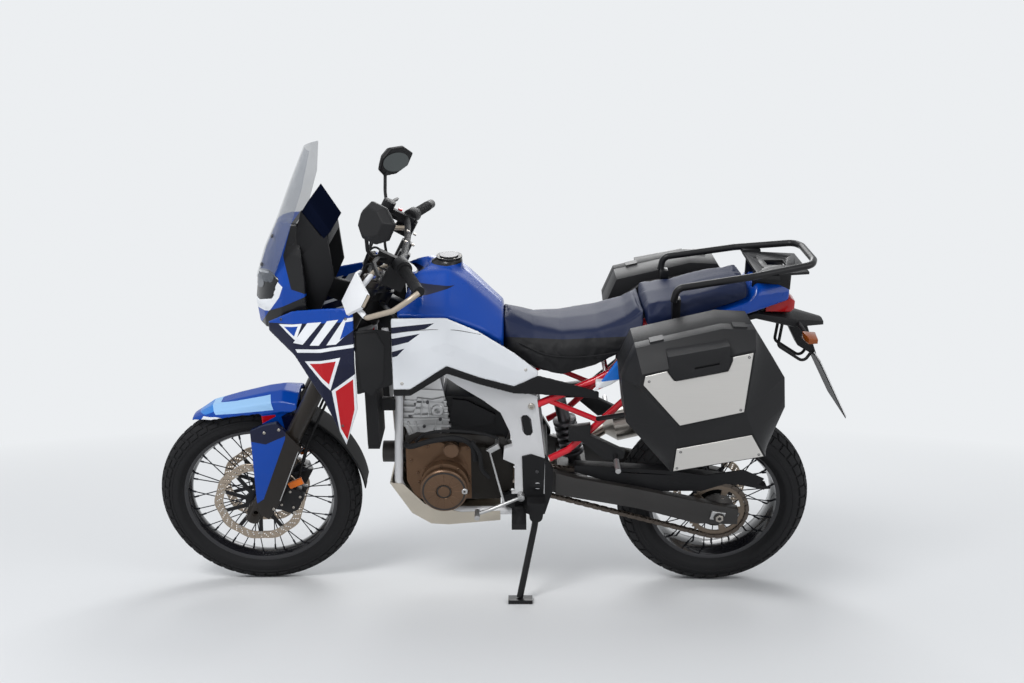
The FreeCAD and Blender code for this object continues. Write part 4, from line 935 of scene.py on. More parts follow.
def tread_block(ring, crown, b0, b1, a0, a1, skew, depth, nb=4, na=2):
    """One block between two angles across the crown and two round the wheel, in degrees."""
    points, faces = [], []
    for sink, draft in ((depth + 1.5, 0.0), (0.9, 0.05), (0.0, 0.14)):
        for i in range(nb + 1):
            for j in range(na + 1):
                b = math.radians(lerp(b0, b1, 0.5 + (i / nb - 0.5) * (1 - draft)))
                a = math.radians(lerp(a0, a1, 0.5 + (j / na - 0.5) * (1 - draft)))
                a += math.radians(skew) * math.degrees(b) / 30
                r = ring + (crown - sink) * math.cos(b)
                points.append((r * math.cos(a), (crown - sink) * math.sin(b), r * math.sin(a)))
    row, level = na + 1, (nb + 1) * (na + 1)
    top = 2 * level
    for i in range(nb):
        for j in range(na):
            faces.append(tuple(top + k for k in (i * row + j, i * row + j + 1, (i + 1) * row + j + 1,
                                                 (i + 1) * row + j)))
    border = ([i * row for i in range(nb)] + [nb * row + j for j in range(na)]
              + [i * row + na for i in range(nb, 0, -1)] + [j for j in range(na, 0, -1)])
    for k, edge in enumerate(border):
        after = border[(k + 1) % len(border)]
        for up in (0, level):
            faces.append((up + edge, up + after, up + level + after, up + level + edge))
    return points, faces


print("a block has", len(tread_block(1, 1, 0, 1, 0, 1, 0, 1)[1]), "faces")

# %% [markdown]
# The carcass runs from bead to bead: side wall with its step, shoulder, then the crown's arc. The
# rubber keeps the width and radius of the solid that it stands for, so that it still touches the
# ground where the solid does.

# %% Tyres
def tyre(node, radius, half, shoulder, bead, bead_half, pitches, rows, depth, centre, body, place):
    drop = radius - shoulder
    crown = (half * half + drop * drop) / (2 * drop)
    ring = radius - crown
    tilt = math.degrees(math.asin(half / crown)) if shoulder > ring else 90
    outer = [polar(crown - depth, math.radians(b), ring) for b in range(-int(tilt), int(tilt) + 1, 6)]
    wall = [(shoulder - 2, half - 1.2), (shoulder - 8, half - 0.8), (shoulder - 9, half - 2.2),
            (lerp(shoulder, bead, 0.45), half - 1.0), (lerp(shoulder, bead, 0.62), half - 2.0),
            (lerp(shoulder, bead, 0.66), half - 4.0), (bead + 9, bead_half + 7),
            (bead + 6, bead_half + 4), (bead + 1, bead_half + 1), (bead, bead_half - 4)]
    profile = [(r, -y) for r, y in reversed(wall)] + outer + wall
    carcass = put(lathed(node + "_carcass", profile, 128), place, centre, 40)
    points, faces = [], []
    for b0, b1, a0, a1, skew in rows:
        for side in (1, -1):
            shift = 0.5 if side < 0 else 0.0
            step = 360 / pitches
            more, quads = tread_block(ring, crown, side * b0, side * b1, (a0 + shift) * step,
                                      (a1 + shift) * step, side * skew, depth)
            quads = [tuple(len(points) + k for k in q) for q in quads]
            points, faces = points + more, faces + quads
    tread = repeated(from_points(node + "_tread", points, faces), rubber.material, pitches)
    print(node, "crown", round(crown, 1), "tread faces", len(tread.data.polygons))
    set_piece(carcass, body, rubber.material, "tyre_rubber", (node,))
    set_piece(put(tread, place, centre, 25), body, rubber.material, "tyre_rubber")


# Each row of blocks: from and to angle across the crown, from and to share of a pitch, skew.
FRONT_ROWS = [(1.5, 25, 0.04, 0.92, 3.0), (28, 54, 0.1, 0.86, -2.2), (57, 76, 0.0, 0.8, 1.0)]
REAR_ROWS = [(1.0, 17, 0.04, 0.94, 2.0), (19, 37, 0.08, 0.9, -2.0), (39.5, 60, 0.0, 0.84, 1.2)]
tyre("front_tyre", radius=347, half=45, shoulder=310, bead=262, bead_half=30, pitches=48,
     rows=FRONT_ROWS, depth=4.0, centre=FRONT_AXLE, body="front_wheel", place=STEERING)
tyre("rear_tyre", radius=333, half=75, shoulder=275, bead=226, bead_half=56, pitches=44,
     rows=REAR_ROWS, depth=5.0, centre=REAR_AXLE, body="rear_wheel", place=CHASSIS)

# %% [markdown]
# A wheel with crossed wire spokes is strong and light. Its spokes come in groups of four, two to
# each side of the hub, one leaning forwards and one back. One group is modelled and repeated. Each
# spoke ends in a nipple on the rim.

# %% Spokes
SPOKE_GROUPS, SLANT, SPOKE_R = 10, 0.5, 1.9


def spoke_group(name, hub_r, rim_r, flange, rim_y):
    """Four spokes, each with its bent head at the hub and its nipple at the rim."""
    pieces = []
    step = math.tau / SPOKE_GROUPS
    for k, (side, lean) in enumerate(((1, 1), (-1, 1), (1, -1), (-1, -1))):
        b = step * (k + 0.5) / 4
        a = b - lean * SLANT
        y = side * (flange + 1.8 * lean)
        p = Vector((hub_r * math.cos(a), y, hub_r * math.sin(a)))
        q = Vector((rim_r * math.cos(b), side * rim_y, rim_r * math.sin(b)))
        along = (q - p).normalized()
        pieces.append(bar(name, [p, q], SPOKE_R, 8, 1))
        pieces.append(bar(name, [q - along * 16, q + along * 3], SPOKE_R * 1.8, 6, 1))
        pieces.append(bar(name, [p - along * 3, p + along * 4], SPOKE_R * 1.9, 6, 1))
    return joined(name, pieces)


print("each spoke leans over", round(math.degrees(SLANT)), "degrees of the hub")

# %% [markdown]
# The rim is a turned section with two lips and a deep middle, the hub a turned core with a flange
# for each row of spokes. Turning them keeps both exactly round, which the eye checks first on a
# wheel.

# %% Rims and hubs
def spoked_wheel(node, rim_r, half, hub_r, hub_half, centre, body, place, flange=44, bore=12.1):
    deep = rim_r - 20
    rim = [(rim_r + 3, -half), (rim_r + 3, -half + 3), (rim_r - 6, -half + 7), (rim_r - 9, -half * 0.5),
           (rim_r - 13, -half * 0.3), (rim_r - 13, half * 0.3), (rim_r - 9, half * 0.5),
           (rim_r - 6, half - 7), (rim_r + 3, half - 3), (rim_r + 3, half), (rim_r - 4, half),
           (rim_r - 11, half - 4), (rim_r - 14, half * 0.62), (deep, half * 0.36), (deep - 1.5, 0),
           (deep, -half * 0.36), (rim_r - 14, -half * 0.62), (rim_r - 11, -half + 4), (rim_r - 4, -half)]
    ring = put(lathed(node + "_rim", rim, 128), place, centre)
    hub = [(bore, -hub_half), (bore + 8, -hub_half), (bore + 8, -flange - 9), (hub_r - 8, -flange - 5),
           (hub_r, -flange - 4), (hub_r, -flange), (hub_r - 10, -flange + 4),
           (hub_r - 20, -flange * 0.5),
           (hub_r - 22, 0), (hub_r - 20, flange * 0.5), (hub_r - 10, flange - 4), (hub_r, flange),
           (hub_r, flange + 4), (hub_r - 8, flange + 5), (bore + 8, flange + 9), (bore + 8, hub_half),
           (bore, hub_half)]
    core = put(lathed(node + "_hub", hub, 64), place, centre)
    spokes = spoke_group(node + "_spokes", hub_r - 3, deep + 2, flange + 2, half * 0.3)
    spokes = put(repeated(spokes, spoke_black.material, SPOKE_GROUPS), place, centre)
    set_piece(ring, body, rim_black.material, "black_alloy", (node,))
    set_piece(core, body, black_paint.material, "black_alloy")
    set_piece(spokes, body, spoke_black.material, "black_alloy")


spoke_black = plain("spoke_black", (0.028, 0.03, 0.038), 0.3, metallic=0.8, depth=0)
rim_black = plain("rim_black", (0.012, 0.012, 0.015), 0.2, metallic=0.3, coat=0.6, depth=0)
spoked_wheel("front_wheel", rim_r=262, half=31, hub_r=46, hub_half=80, centre=FRONT_AXLE,
             body="front_wheel", place=STEERING)
spoked_wheel("rear_wheel", rim_r=226, half=56, hub_r=52, hub_half=104, centre=REAR_AXLE,
             body="rear_wheel", place=CHASSIS)
print("spokes per wheel", 4 * SPOKE_GROUPS)

# %% [markdown]
# A floating brake disc is a thin wavy ring, drilled all round, held by buttons on a black spider.
# The holes could be cut by booleans, which is slow and fragile with a hundred of them; as outlines
# in a filled curve they come for free.

# %% Brake discs
def wavy(radius, depth, waves, n):
    """An outline whose radius swings between its full value and two depths less."""
    around = [math.tau * k / n for k in range(n)]
    return [polar(radius - depth + depth * math.cos(waves * a), a) for a in around]


def drilled(inner, width, waves):
    """Three slanted rows of round holes across a ring."""
    holes = []
    for k in range(waves * 4):
        middle = math.tau * (k + 0.5) / (waves * 4)
        for across, radius in ((0.23, 3.3), (0.45, 3.3), (0.66, 2.9)):
            at = polar(inner + width * across, middle + (across - 0.5) * 0.16)
            holes.append(circle(radius, *at, 8))
    return holes


def brake_disc(name, node, radius, width, waves, y, centre, body, place, side, hub_r=22):
    inner = radius - width
    where = centre + Vector((0, y, 0)) / 1000
    rings = [wavy(radius, 2.6, waves, 160), wavy(inner, 1.5, waves, 80)] + drilled(inner, width, waves)
    ring = put(plate(name + "_ring", rings, 4.6, 0.3), place, where)
    set_piece(ring, body, disc_steel.material, "disc_steel", (node,))
    corners = waves * 6
    reach = [inner - 2 if k % 6 in (2, 3) else hub_r + 26 for k in range(corners)]
    star = [polar(r, math.tau * k / corners) for k, r in enumerate(reach)]
    spider = plate(name + "_spider", [star, circle(hub_r, n=32)], 4.0, 0.4)
    spider = put(spider, place, centre + Vector((0, y + side * 0.8, 0)) / 1000)
    set_piece(spider, body, black_paint.material, "black_alloy")
    button = bar(name + "_buttons", [(inner, -5, 0), (inner, 5, 0)], 6.5, 14, 1)
    button.data.transform(Matrix.Rotation(-math.tau * 2.5 / corners, 4, "Y"))
    button = put(repeated(button, steel.material, waves), place, where)
    set_piece(button, body, steel.material, "disc_steel")
    print(name, "holes", len(rings) - 2)


disc_steel = plain("disc_steel", (0.42, 0.35, 0.28), 0.34, metallic=1.0, depth=0.1)
for side in (-1, 1):
    label = "left" if side < 0 else "right"
    brake_disc("front_disc_" + label, "front_discs", radius=155, width=30, waves=10, y=side * 57,
               centre=FRONT_AXLE, body="front_wheel", place=STEERING, side=side)
brake_disc("rear_brake", "rear_disc", radius=128, width=28, waves=9, y=59, centre=REAR_AXLE,
           body="rear_wheel", place=CHASSIS, side=1)

# %% [markdown]
# The rear sprocket is one outline of teeth with cut-outs and bolt holes, bolted to a drum on the
# hub. Each tooth is four points: root, root, tip, tip.

# %% Sprocket
TEETH, SPROCKET_R = 42, 104


def sprocket_outlines():
    rim = []
    for k in range(TEETH * 4):
        r = SPROCKET_R - (8, 8, 1, 1)[k % 4]
        rim.append(polar(r, math.tau * (k + (0, 0.35, 0.1, -0.1)[k % 4]) / (TEETH * 4)))
    holes = [circle(24, n=32)]
    for k in range(5):
        a0, a1 = math.tau * (k + 0.12) / 5, math.tau * (k + 0.88) / 5
        holes.append([polar(82, lerp(a0, a1, t / 8)) for t in range(9)]
                     + [polar(60, lerp(a1, a0, t / 8)) for t in range(9)])
    return [rim] + holes


def sprocket():
    at = REAR_AXLE + Vector((0, CHAIN_Y, 0))
    gear = put(plate("rear_sprocket_gear", sprocket_outlines(), 6, 0.6), CHASSIS, at)
    set_piece(gear, "rear_wheel", sprocket_steel.material, "disc_steel", ("rear_sprocket",))
    carrier = [(24, -30), (24, 6), (40, 6), (58, 2), (62, -4), (62, -12), (40, -30)]
    drum = lathed("rear_sprocket_drum", carrier, 48)
    drum = put(drum, CHASSIS, REAR_AXLE + Vector((0, CHAIN_Y + 0.009, 0)))
    set_piece(drum, "rear_wheel", engine_dark.material, "disc_steel")
    nut = bar("rear_sprocket_nuts", [(50, -12, 0), (50, 4, 0)], 7, 6, 1)
    nut = put(repeated(nut, steel.material, 5), CHASSIS, at)
    set_piece(nut, "rear_wheel", steel.material, "disc_steel")
    print("sprocket teeth", TEETH, "faces", len(gear.data.polygons))


sprocket_steel = plain("sprocket_steel", (0.2, 0.16, 0.125), 0.4, metallic=0.9, depth=0.2)
chain_steel = plain("chain_steel", (0.12, 0.1, 0.085), 0.42, metallic=0.9, depth=0.2)
CHAIN_Y = -0.096
sprocket()

# %% [markdown]
# The chain follows a loop of two arcs and two straights, which touch both sprockets. Its pins are
# spaced evenly on that line, with the real pitch of 15.875 mm rounded so that a whole, even number
# of links closes the loop.

# %% The line of the chain
FRONT_TEETH = Vector((0.850, 0, 0.480))
LINK_PITCH = 0.015875


def chain_path(big, small):
    """The closed line of the chain's pins, as (x, z) points at an even pitch."""
    across = REAR_AXLE - FRONT_TEETH
    span = math.hypot(across.x, across.z)
    tilt = math.atan2(across.z, across.x)
    lean = math.asin((big - small) / span)
    top, under = tilt + math.pi / 2 + lean, tilt - math.pi / 2 - lean
    line = []
    for centre, r, a0, a1 in ((REAR_AXLE, big, top, under),
                              (FRONT_TEETH, small, under, top - math.tau)):
        for a in (lerp(a0, a1, k / 40) for k in range(41)):
            line.append(Vector((centre.x + r * math.cos(a), 0, centre.z + r * math.sin(a))))
    return line


def evenly(closed, count):
    """Points at an even pitch on a closed line, each with the way the line runs there."""
    lengths = [(b - a).length for a, b in zip(closed, closed[1:])]
    step, run, target = sum(lengths) / count, 0.0, 0.0
    points = []
    for (a, b), length in zip(zip(closed, closed[1:]), lengths):
        while target <= run + length and len(points) < count:
            points.append((a + (b - a) * ((target - run) / length), (b - a).normalized()))
            target += step
        run += length
    return points


chain_line = chain_path(big=0.104, small=0.040)
chain_line += chain_line[:1]
CHAIN_LENGTH = sum((b - a).length for a, b in zip(chain_line, chain_line[1:]))
LINKS = int(CHAIN_LENGTH / LINK_PITCH / 2) * 2
print("links", LINKS, "pitch", round(CHAIN_LENGTH / LINKS * 1000, 2))

# %% [markdown]
# A roller chain has two kinds of link: an inner one with two bushes, and an outer one with two
# pins, wider apart. One of each is made from flat side plates and short bars, and a small node tree
# sets it on every second point and turns it along the line. Arrays on a curve would stretch the
# links; copies on points keep each one's true shape.

# %% Chain links
def chain_link(kind, pitch, half, pin_half, pin_radius, sides):
    """Two side plates and the pins or rollers between them."""
    ends = [(s, lerp(0, math.pi, k / 6) * s) for s in (1, -1) for k in range(7)]
    stadium = [(pitch / 2 * s + 6.2 * math.sin(a), -s * 6.2 * math.cos(a)) for s, a in ends]
    parts = []
    for y in (-half, half):
        side = plate("link", [stadium], 2.0, 0.3)
        side.data.transform(Matrix.Translation((0, y / 1000, 0)))
        parts.append(side)
    for x in (-pitch / 2, pitch / 2):
        parts.append(bar("pin", [(x, -pin_half, 0), (x, pin_half, 0)], pin_radius, sides, 1))
    return joined("chain_" + kind, parts)


def chain_row(kind, piece, spots):
    """Copies of one link on the spots, each turned along the chain."""
    mesh = bpy.data.meshes.new("chain_spots")
    mesh.from_pydata([p for p, _ in spots], [], [])
    turn = mesh.attributes.new("tangent", "FLOAT_VECTOR", "POINT")
    for i, (_, way) in enumerate(spots):
        turn.data[i].vector = way
    obj = link(bpy.data.objects.new("drive_chain_" + kind, mesh))
    work = Shape("chain_row_" + kind, Material="Material")
    shape = work.add("GeometryNodeObjectInfo", {}, {"Object": piece})
    tangent = work.add("GeometryNodeInputNamedAttribute", {"data_type": "FLOAT_VECTOR"}, ["tangent"])
    spin = work.add("FunctionNodeAxesToRotation", {"primary_axis": "X", "secondary_axis": "Y"},
                    {"Primary Axis": tangent.outputs[0], "Secondary Axis": (0, 1, 0)})
    copies = work.add("GeometryNodeInstanceOnPoints", {}, {
        "Points": work.start.outputs["Geometry"], "Instance": shape.outputs["Geometry"],
        "Rotation": spin.outputs[0]})
    work.end(copies.outputs[0])
    work.on(obj, Material=chain_steel.material)
    put(obj, CHASSIS, (0, CHAIN_Y, 0))
    set_piece(obj, "chassis", chain_steel.material, "disc_steel", ("drive_chain",))
    print(kind, "links", len(spots), "faces", len(obj.data.polygons))


def chain():
    pitch = CHAIN_LENGTH / LINKS * 1000
    points = evenly(chain_line, LINKS)
    sizes = {"inner": (5.4, 4.6, 4.6, 10), "outer": (7.8, 9.0, 2.6, 8)}
    pieces = {kind: chain_link(kind, pitch, *size) for kind, size in sizes.items()}
    for k, kind in enumerate(sizes):
        chain_row(kind, pieces[kind], points[k::2])
        bpy.data.objects.remove(pieces[kind])
    pinion = plate("front_sprocket_gear", [circle(38, n=16), circle(12, n=16)], 6, 0.5)
    pinion = put(pinion, CHASSIS, FRONT_TEETH + Vector((0, CHAIN_Y, 0)))
    set_piece(pinion, "chassis", sprocket_steel.material, "disc_steel")


chain()

# %% [markdown]
# Every node gets a finish now. The moulded shells are remeshed and smoothed; the rest get a small
# bevel that catches the light along their edges. Later pieces are laid over this coat.

# %% First coat
BODY_OF = {n: b for b, names in frame["record"]["behaviour"]["bodies"].items() for n in names}
SLOT_OF = {s["node"]: s["material_slot"] for s in frame["record"]["subparts"]}
# Each shell: node, finish, size of the remesh in millimetres, rounds of smoothing.
SHELLS = [("front_fender", fender_paint, 3.0, 16), ("nose_cowl", nose_paint, 3.5, 8),
          ("side_cowls", cowl_paint, 3.5, 6), ("side_panels", panel_paint, 3.5, 6),
          ("fuel_tank", tank_paint, 6.0, 16), ("tail_cover", cobalt, 5.0, 8),
          ("black_trims", black_plastic, 3.5, 4), ("rear_side_covers", cover_paint, 3.0, 5),
          ("mirrors", black_plastic, 2.2, 7)]
PLAIN = {
    "fork_legs": fork_paint, "triple_clamps": black_paint, "handlebar": black_plastic,
    "hand_controls": black_plastic, "hand_guards": guard_finish,
    "front_calipers": black_paint, "rear_caliper": black_paint, "fork_guards": guard_paint,
    "main_frame": frame_finish, "cradle": frame_paint, "subframe": red_paint,
    "crankcase": engine_dark, "engine_covers": covers_finish, "cylinders": cast_alloy,
    "throttle_body": black_plastic, "exhaust_pipes": pipe, "silencer": steel,
    "swingarm": swingarm_paint, "rear_shock": dark_steel, "rack": black_paint,
    "pannier_carriers": black_paint, "tail_light": red_lens, "rear_fender": black_plastic,
    "indicators": smoked_amber, "number_plate": plate_white, "headlamps": lamp_glass,
    "windscreen": screen_clear, "display": glass_black, "fairing_stay": black_plastic,
    "radiators": black_plastic, "skid_plate": plate_alloy, "foot_pegs": peg_finish,
    "foot_levers": cast_alloy, "side_stand": black_paint, "chain_guard": black_plastic,
    "case_left": case_plastic, "case_right": case_plastic, "lid_left": case_plastic,
    "lid_right": case_plastic, "brake_hoses": rubber}

THIN = ("number_plate", "windscreen")

for node, finish, voxel, rounds in SHELLS:
    softened(node, BODY_OF[node], finish.material, voxel, rounds, SLOT_OF[node])
for node, finish in PLAIN.items():
    bevel = 0.0 if node in THIN else 1.0
    eased(node, BODY_OF[node], finish.material, bevel, SLOT_OF[node])
print("finished nodes", len(SHELLS) + len(PLAIN))
print("without a finish:", sorted(set(NODES) - set(PLAIN) - {s[0] for s in SHELLS}))

# %% [markdown]
# The two seats are foam under a sewn cover. Sculpting could give the soft corners; here the solid
# is remeshed, taken in a little and blown up again as cloth under pressure, which rounds its
# corners as foam does. A cap keeps every point near its place.

# %% Seats
def pad(node, shrink=4.0, cap=6.0):
    obj = merged_copy(node, node + "_pad")
    remesh = obj.modifiers.new("remesh", "REMESH")
    remesh.mode, remesh.voxel_size = "VOXEL", 0.006
    smooth = obj.modifiers.new("smooth", "SMOOTH")
    smooth.iterations, smooth.factor = 10, 0.5
    applied(obj)
    for v, n in zip(obj.data.vertices, [v.normal.copy() for v in obj.data.vertices]):
        v.co -= n * shrink / 1000
    start = [v.co.copy() for v in obj.data.vertices]
    cloth = obj.modifiers.new("cloth", "CLOTH")
    cloth.settings.use_pressure = True
    cloth.settings.uniform_pressure_force = 4.0
    cloth.settings.effector_weights.gravity = 0.0
    cloth.point_cache.frame_start, cloth.point_cache.frame_end = 1, 20
    for k in range(1, 21):
        bpy.context.scene.frame_set(k)
    applied(obj)
    bpy.context.scene.frame_set(1)
    for v, p in zip(obj.data.vertices, start):
        move = v.co - p
        if move.length > cap / 1000:
            v.co = p + move.normalized() * cap / 1000
    finer = obj.modifiers.new("finer", "SUBSURF")
    finer.levels = finer.render_levels = 1
    applied(obj)
    obj.data.shade_smooth()
    set_piece(obj, BODY_OF[node], seat_finish.material, SLOT_OF[node], (node,))
    print(node, "pad faces", len(obj.data.polygons))


for node in ("rider_seat", "passenger_seat"):
    pad(node)

# %% [markdown]
# Seams, piping and cables follow a line. A laid line touches the surface at each of its points, so
# it can't float or sink; a cable hangs between points of its own.

# %% Lines on a surface
def laid_bar(name, node, place, pairs, radius, finish, side=-1, axis=1, out=0.2, body=None, per=4):
    line = []
    for u, v in pairs:
        point, normal = touch(node, place, u, v, side, axis)
        if point is not None:
            line.append(point + normal.normalized() * radius * out)
    obj = put(bar(name, line, radius, 8, per), place)
    return set_piece(obj, body or BODY_OF[node], finish.material, SLOT_OF[node])


def fitted(name, path, radius, finish, body, place, slot, sides=10, per=6):
    return set_piece(put(bar(name, path, radius, sides, per), place), body, finish.material, slot)


print("seat side is met at", [round(v) for v in touch("rider_seat", CHASSIS, 980, 940)[0]])

# %% [markdown]
# Each hard case has a lid with two brushed alloy panels round a moulded handle, and small screws in
# their corners. The panels are flat on the real case too, so flat plates on the lid's outermost
# side are the plain and right way.

# %% Case panels
UPPER_PANEL = [(1257, 972), (1261, 1000), (1322, 1016), (1345, 984), (1498, 1016), (1508, 1048),
               (1508, 1060), (1565, 1073), (1553, 885), (1369, 841)]
LOWER_PANEL = [(1364, 762), (1582, 808), (1622, 738), (1358, 688)]
LID_SCREWS = ((1272, 984), (1554, 1060), (1376, 753), (1608, 744), (1368, 698), (1543, 892))
for side, node in ((-1, "lid_left"), (1, "lid_right")):
    y = touch(node, CHASSIS, 1450, 870, side)[0].y
    for label, outline in (("upper", UPPER_PANEL), ("lower", LOWER_PANEL)):
        panel = plate("%s_%s_panel" % (node, label), [outline], 4.0, 0.8)
        put(panel, CHASSIS, (0, y / 1000, 0))
        set_piece(panel, BODY_OF[node], lid_alloy.material, SLOT_OF[node])
    spots = [(Vector((x, y + side * 1.5, z)), Vector((0, side, 0))) for x, z in LID_SCREWS]
    screws(node + "_rivets", BODY_OF[node], CHASSIS, spots, 4.0, dark_steel, SLOT_OF[node], 1.6)
print("right lid's face at y", round(y, 1))

# %% [markdown]
# The left side of the engine is a bronze cast cover with a round generator lid, whose rim, ribs,
# plug and boss are what the eye finds first. A cast relief could be sculpted, but round forms are
# exact and light when they are turned from a profile, and screws sit on points found on the solid
# itself.

# %% Generator cover
GENERATOR, BOSS, LEVEL_PLUG = (650, 459), (676, 593), (718, 459)
COVER_SLOT, HEAD_SLOT = SLOT_OF["engine_covers"], SLOT_OF["cylinders"]


def round_part(name, node, at, sink, profile, finish, slot, steps=48):
    """A turned piece that stands on a node's left side, sunk by some millimetres."""
    y = touch(node, CHASSIS, *at)[0].y + sink
    turned_piece(name, "chassis", CHASSIS, (at[0], y, at[1]), profile, finish, slot, steps)
    return y


def generator_cover():
    cover = "engine_covers"
    lid = [(78, 6), (78, -4), (75, -7), (64, -9), (42, -10), (27, -10), (25, -7), (21, -7), (19, -11),
           (6, -12), (0.05, -12), (0.05, 6)]
    y = round_part("generator_lid", cover, GENERATOR, 0, lid, bronze, COVER_SLOT, 72)
    ring = [(24, -6), (24, -9.5), (20, -9.5), (20, -6)]
    round_part("generator_plug", cover, GENERATOR, 0, ring, engine_dark, COVER_SLOT)
    # A dark ring where the lid's groove runs, standing just proud of the lid: painted shade of the
    # groove.
    groove = [(72, -6.5), (72, -8.2), (66, -8.8), (66, -6.5)]
    round_part("generator_rim", cover, GENERATOR, 0, groove, engine_dark, COVER_SLOT, 72)
    plug = [(11, 8), (11, -4), (9, -6), (4, -6), (4, -2), (0.05, -2), (0.05, 8)]
    turned_piece("level_plug", "chassis", CHASSIS, (LEVEL_PLUG[0], y - 4, LEVEL_PLUG[1]), plug,
                 cast_alloy, COVER_SLOT, 24)
    rib = bar("generator_ribs", [(30, -9, 0), (60, -8.5, 0)], 2.4, 8, 1)
    rib = repeated(rib, bronze.material, 12)
    rib = put(rib, CHASSIS, Vector((GENERATOR[0], y, GENERATOR[1])) / 1000)
    set_piece(rib, "chassis", bronze.material, COVER_SLOT)
    boss = [(27, 6), (27, -3), (24, -6), (4, -7), (0.05, -7), (0.05, 6)]
    round_part("cover_boss", cover, BOSS, 0, boss, bronze, COVER_SLOT, 36)
    around = circle(86, *GENERATOR, 9, math.tau * 0.4 / 9)
    more = [(540, 548), (596, 600), (690, 636), (728, 590), (560, 500), (676, 618)]
    spots = on_side(cover, around + more)
    screws("cover_screws", "chassis", CHASSIS, spots, 5.0, bronze, COVER_SLOT, 4)
    return y


cover_y = generator_cover()
print("generator cover at y", round(cover_y, 1))

# %% [markdown]
# Hoses and the wiring loom run over the engine's side, black on black, and break up its large
# surfaces. Each is a round bar through a few points that keep clear of the covers. A cord
# simulation isn't needed, because clips hold them in place on the real machine.

# %% Hoses and loom
HOSES = {
    "coolant_hose": (9, [(524, 44, 606), (548, 12, 618), (610, 6, 640), (690, 8, 650), (742, 14, 622),
                         (756, 20, 560)]),
    "breather_hose": (7, [(744, 4, 640), (770, -2, 596), (776, 2, 540), (800, 12, 500)]),
    "loom": (5, [(560, 30, 626), (600, 16, 664), (680, 10, 676), (770, 16, 664), (830, 26, 640)])}
for name, (radius, path) in HOSES.items():
    path = [(x, cover_y + y, z) for x, y, z in path]
    fitted(name, path, radius, rubber, "chassis", CHASSIS, COVER_SLOT, 12)
print("hoses", len(HOSES))

# %% [markdown]
# The bright cylinder stands out against the dark engine, with its ribs, a round cap and dark
# screws; behind it lies the black lid of the airbox. The jackets are flat plates set on the solid's
# side, and the ribs bars across them, because cast ribs are rounded and a bar has that section
# already.

# %% Cylinder and airbox
HEAD_CAP = (631, 722)
JACKETS = {"barrel": (1, [(534, 622), (513, 686), (648, 686), (642, 634), (600, 640)]),
           "head": (4, [(547, 694), (566, 768), (612, 761), (655, 770), (652, 694)])}
RIBS = ((545, 640, 533, 680), (566, 644, 556, 684), (622, 646, 626, 684), (518, 690, 650, 690),
        (576, 700, 584, 764), (602, 700, 606, 758))
HEAD_SCREWS = [(540, 700), (560, 744), (600, 752), (640, 690), (586, 664), (620, 650)]
AIRBOX = [(682, 762), (670, 684), (721, 658), (815, 672), (820, 706), (728, 757)]


def cylinder_side():
    cap = [(22, 8), (22, -8), (18, -12), (10, -12), (8, -8), (0.05, -8), (0.05, 8)]
    front = round_part("head_cap", "cylinders", HEAD_CAP, 0, cap, cast_alloy, HEAD_SLOT, 32) + 2
    for label, (out, outline) in JACKETS.items():
        jacket = plate("cylinder_" + label, [outline], 12, 2.0)
        jacket = put(jacket, CHASSIS, (0, (front - out) / 1000, 0))
        set_piece(jacket, "chassis", cast_alloy.material, HEAD_SLOT)
    for k, (x0, z0, x1, z1) in enumerate(RIBS):
        fitted("cylinder_rib_%d" % k, [(x0, front - 8, z0), (x1, front - 8, z1)], 3.6, cast_alloy,
               "chassis", CHASSIS, HEAD_SLOT, 10, 1)
    spots = on_side("cylinders", HEAD_SCREWS)
    screws("head_screws", "chassis", CHASSIS, spots, 5.5, dark_steel, HEAD_SLOT, 5)
    airbox = overlay("airbox_lid", "throttle_body", CHASSIS, AIRBOX, 10.0, edge=2.5)
    set_piece(airbox, "chassis", black_plastic.material, SLOT_OF["throttle_body"])
    print("cylinder's side at y", round(front, 1))


cylinder_side()

# %% [markdown]
# The frame's pale side plate is what ties engine, swingarm and pegs together, and the largest light
# shape low on the machine. It has one big bolt, a dark slot and a black pivot cover at its foot.
# The slot is a thin black overlay, painted shade standing for the slot's dark inside: a cut through
# the solid is not needed where nothing shows behind it.

# %% Frame plate
# The slot's outline, filled with a thin black sheet as painted shade of its dark inside.
SLOT_HOLE = [(907, 718), (911, 726), (924, 727), (933, 716), (942, 664), (937, 654), (924, 652),
             (915, 660)]
PIVOT_COVER = [(908, 576), (938, 584), (984, 567), (980, 425), (912, 425)]
TOP_BOLT, PIVOT_BOLT = (939, 759), (958, 520)


def frame_side(side):
    label, slot = "left" if side < 0 else "right", SLOT_OF["main_frame"]
    if side < 0:
        for name, outline, thick, more in (("frame_slot_", SLOT_HOLE, 0.5, {"cell": 30}),
                                           ("pivot_cover_", PIVOT_COVER, 5.0, {"edge": 1.5})):
            cover = overlay(name + label, "main_frame", CHASSIS, outline, thick, side, **more)
            set_piece(cover, "chassis", black_plastic.material, slot)
    for name, at, radius, finish, height, sides in (("frame_bolts_", TOP_BOLT, 11, steel, 5, 24),
                                                    ("pivot_bolts_", PIVOT_BOLT, 6, dark_steel, 8, 6)):
        spots = on_side("main_frame", [at], CHASSIS, side)
        screws(name + label, "chassis", CHASSIS, spots, radius, finish, slot, height, sides)


for side in (-1, 1):
    frame_side(side)


print("frame plate's left face at y", round(touch("main_frame", CHASSIS, *TOP_BOLT)[0].y, 1))

# %% [markdown]
# A mirror is silvered glass in a black shell. The glass is a thin oval laid over the shell's rear
# face, smaller than the shell, so that a black rim is left all round.

# %% Mirrors
for side in (-1, 1):
    label = "left" if side < 0 else "right"
    oval = [(side * 350 + 52 * x, 1195 + 37 * z) for x, z in circle(1, n=36)]
    glass = overlay("mirror_glass_" + label, "mirrors", FORK, oval, 0.8, 1, 0, cell=60, edge=0.2)
    set_piece(glass, "steering", mirror_silver.material, SLOT_OF["mirrors"])
print("mirror glass faces", len(glass.data.polygons))

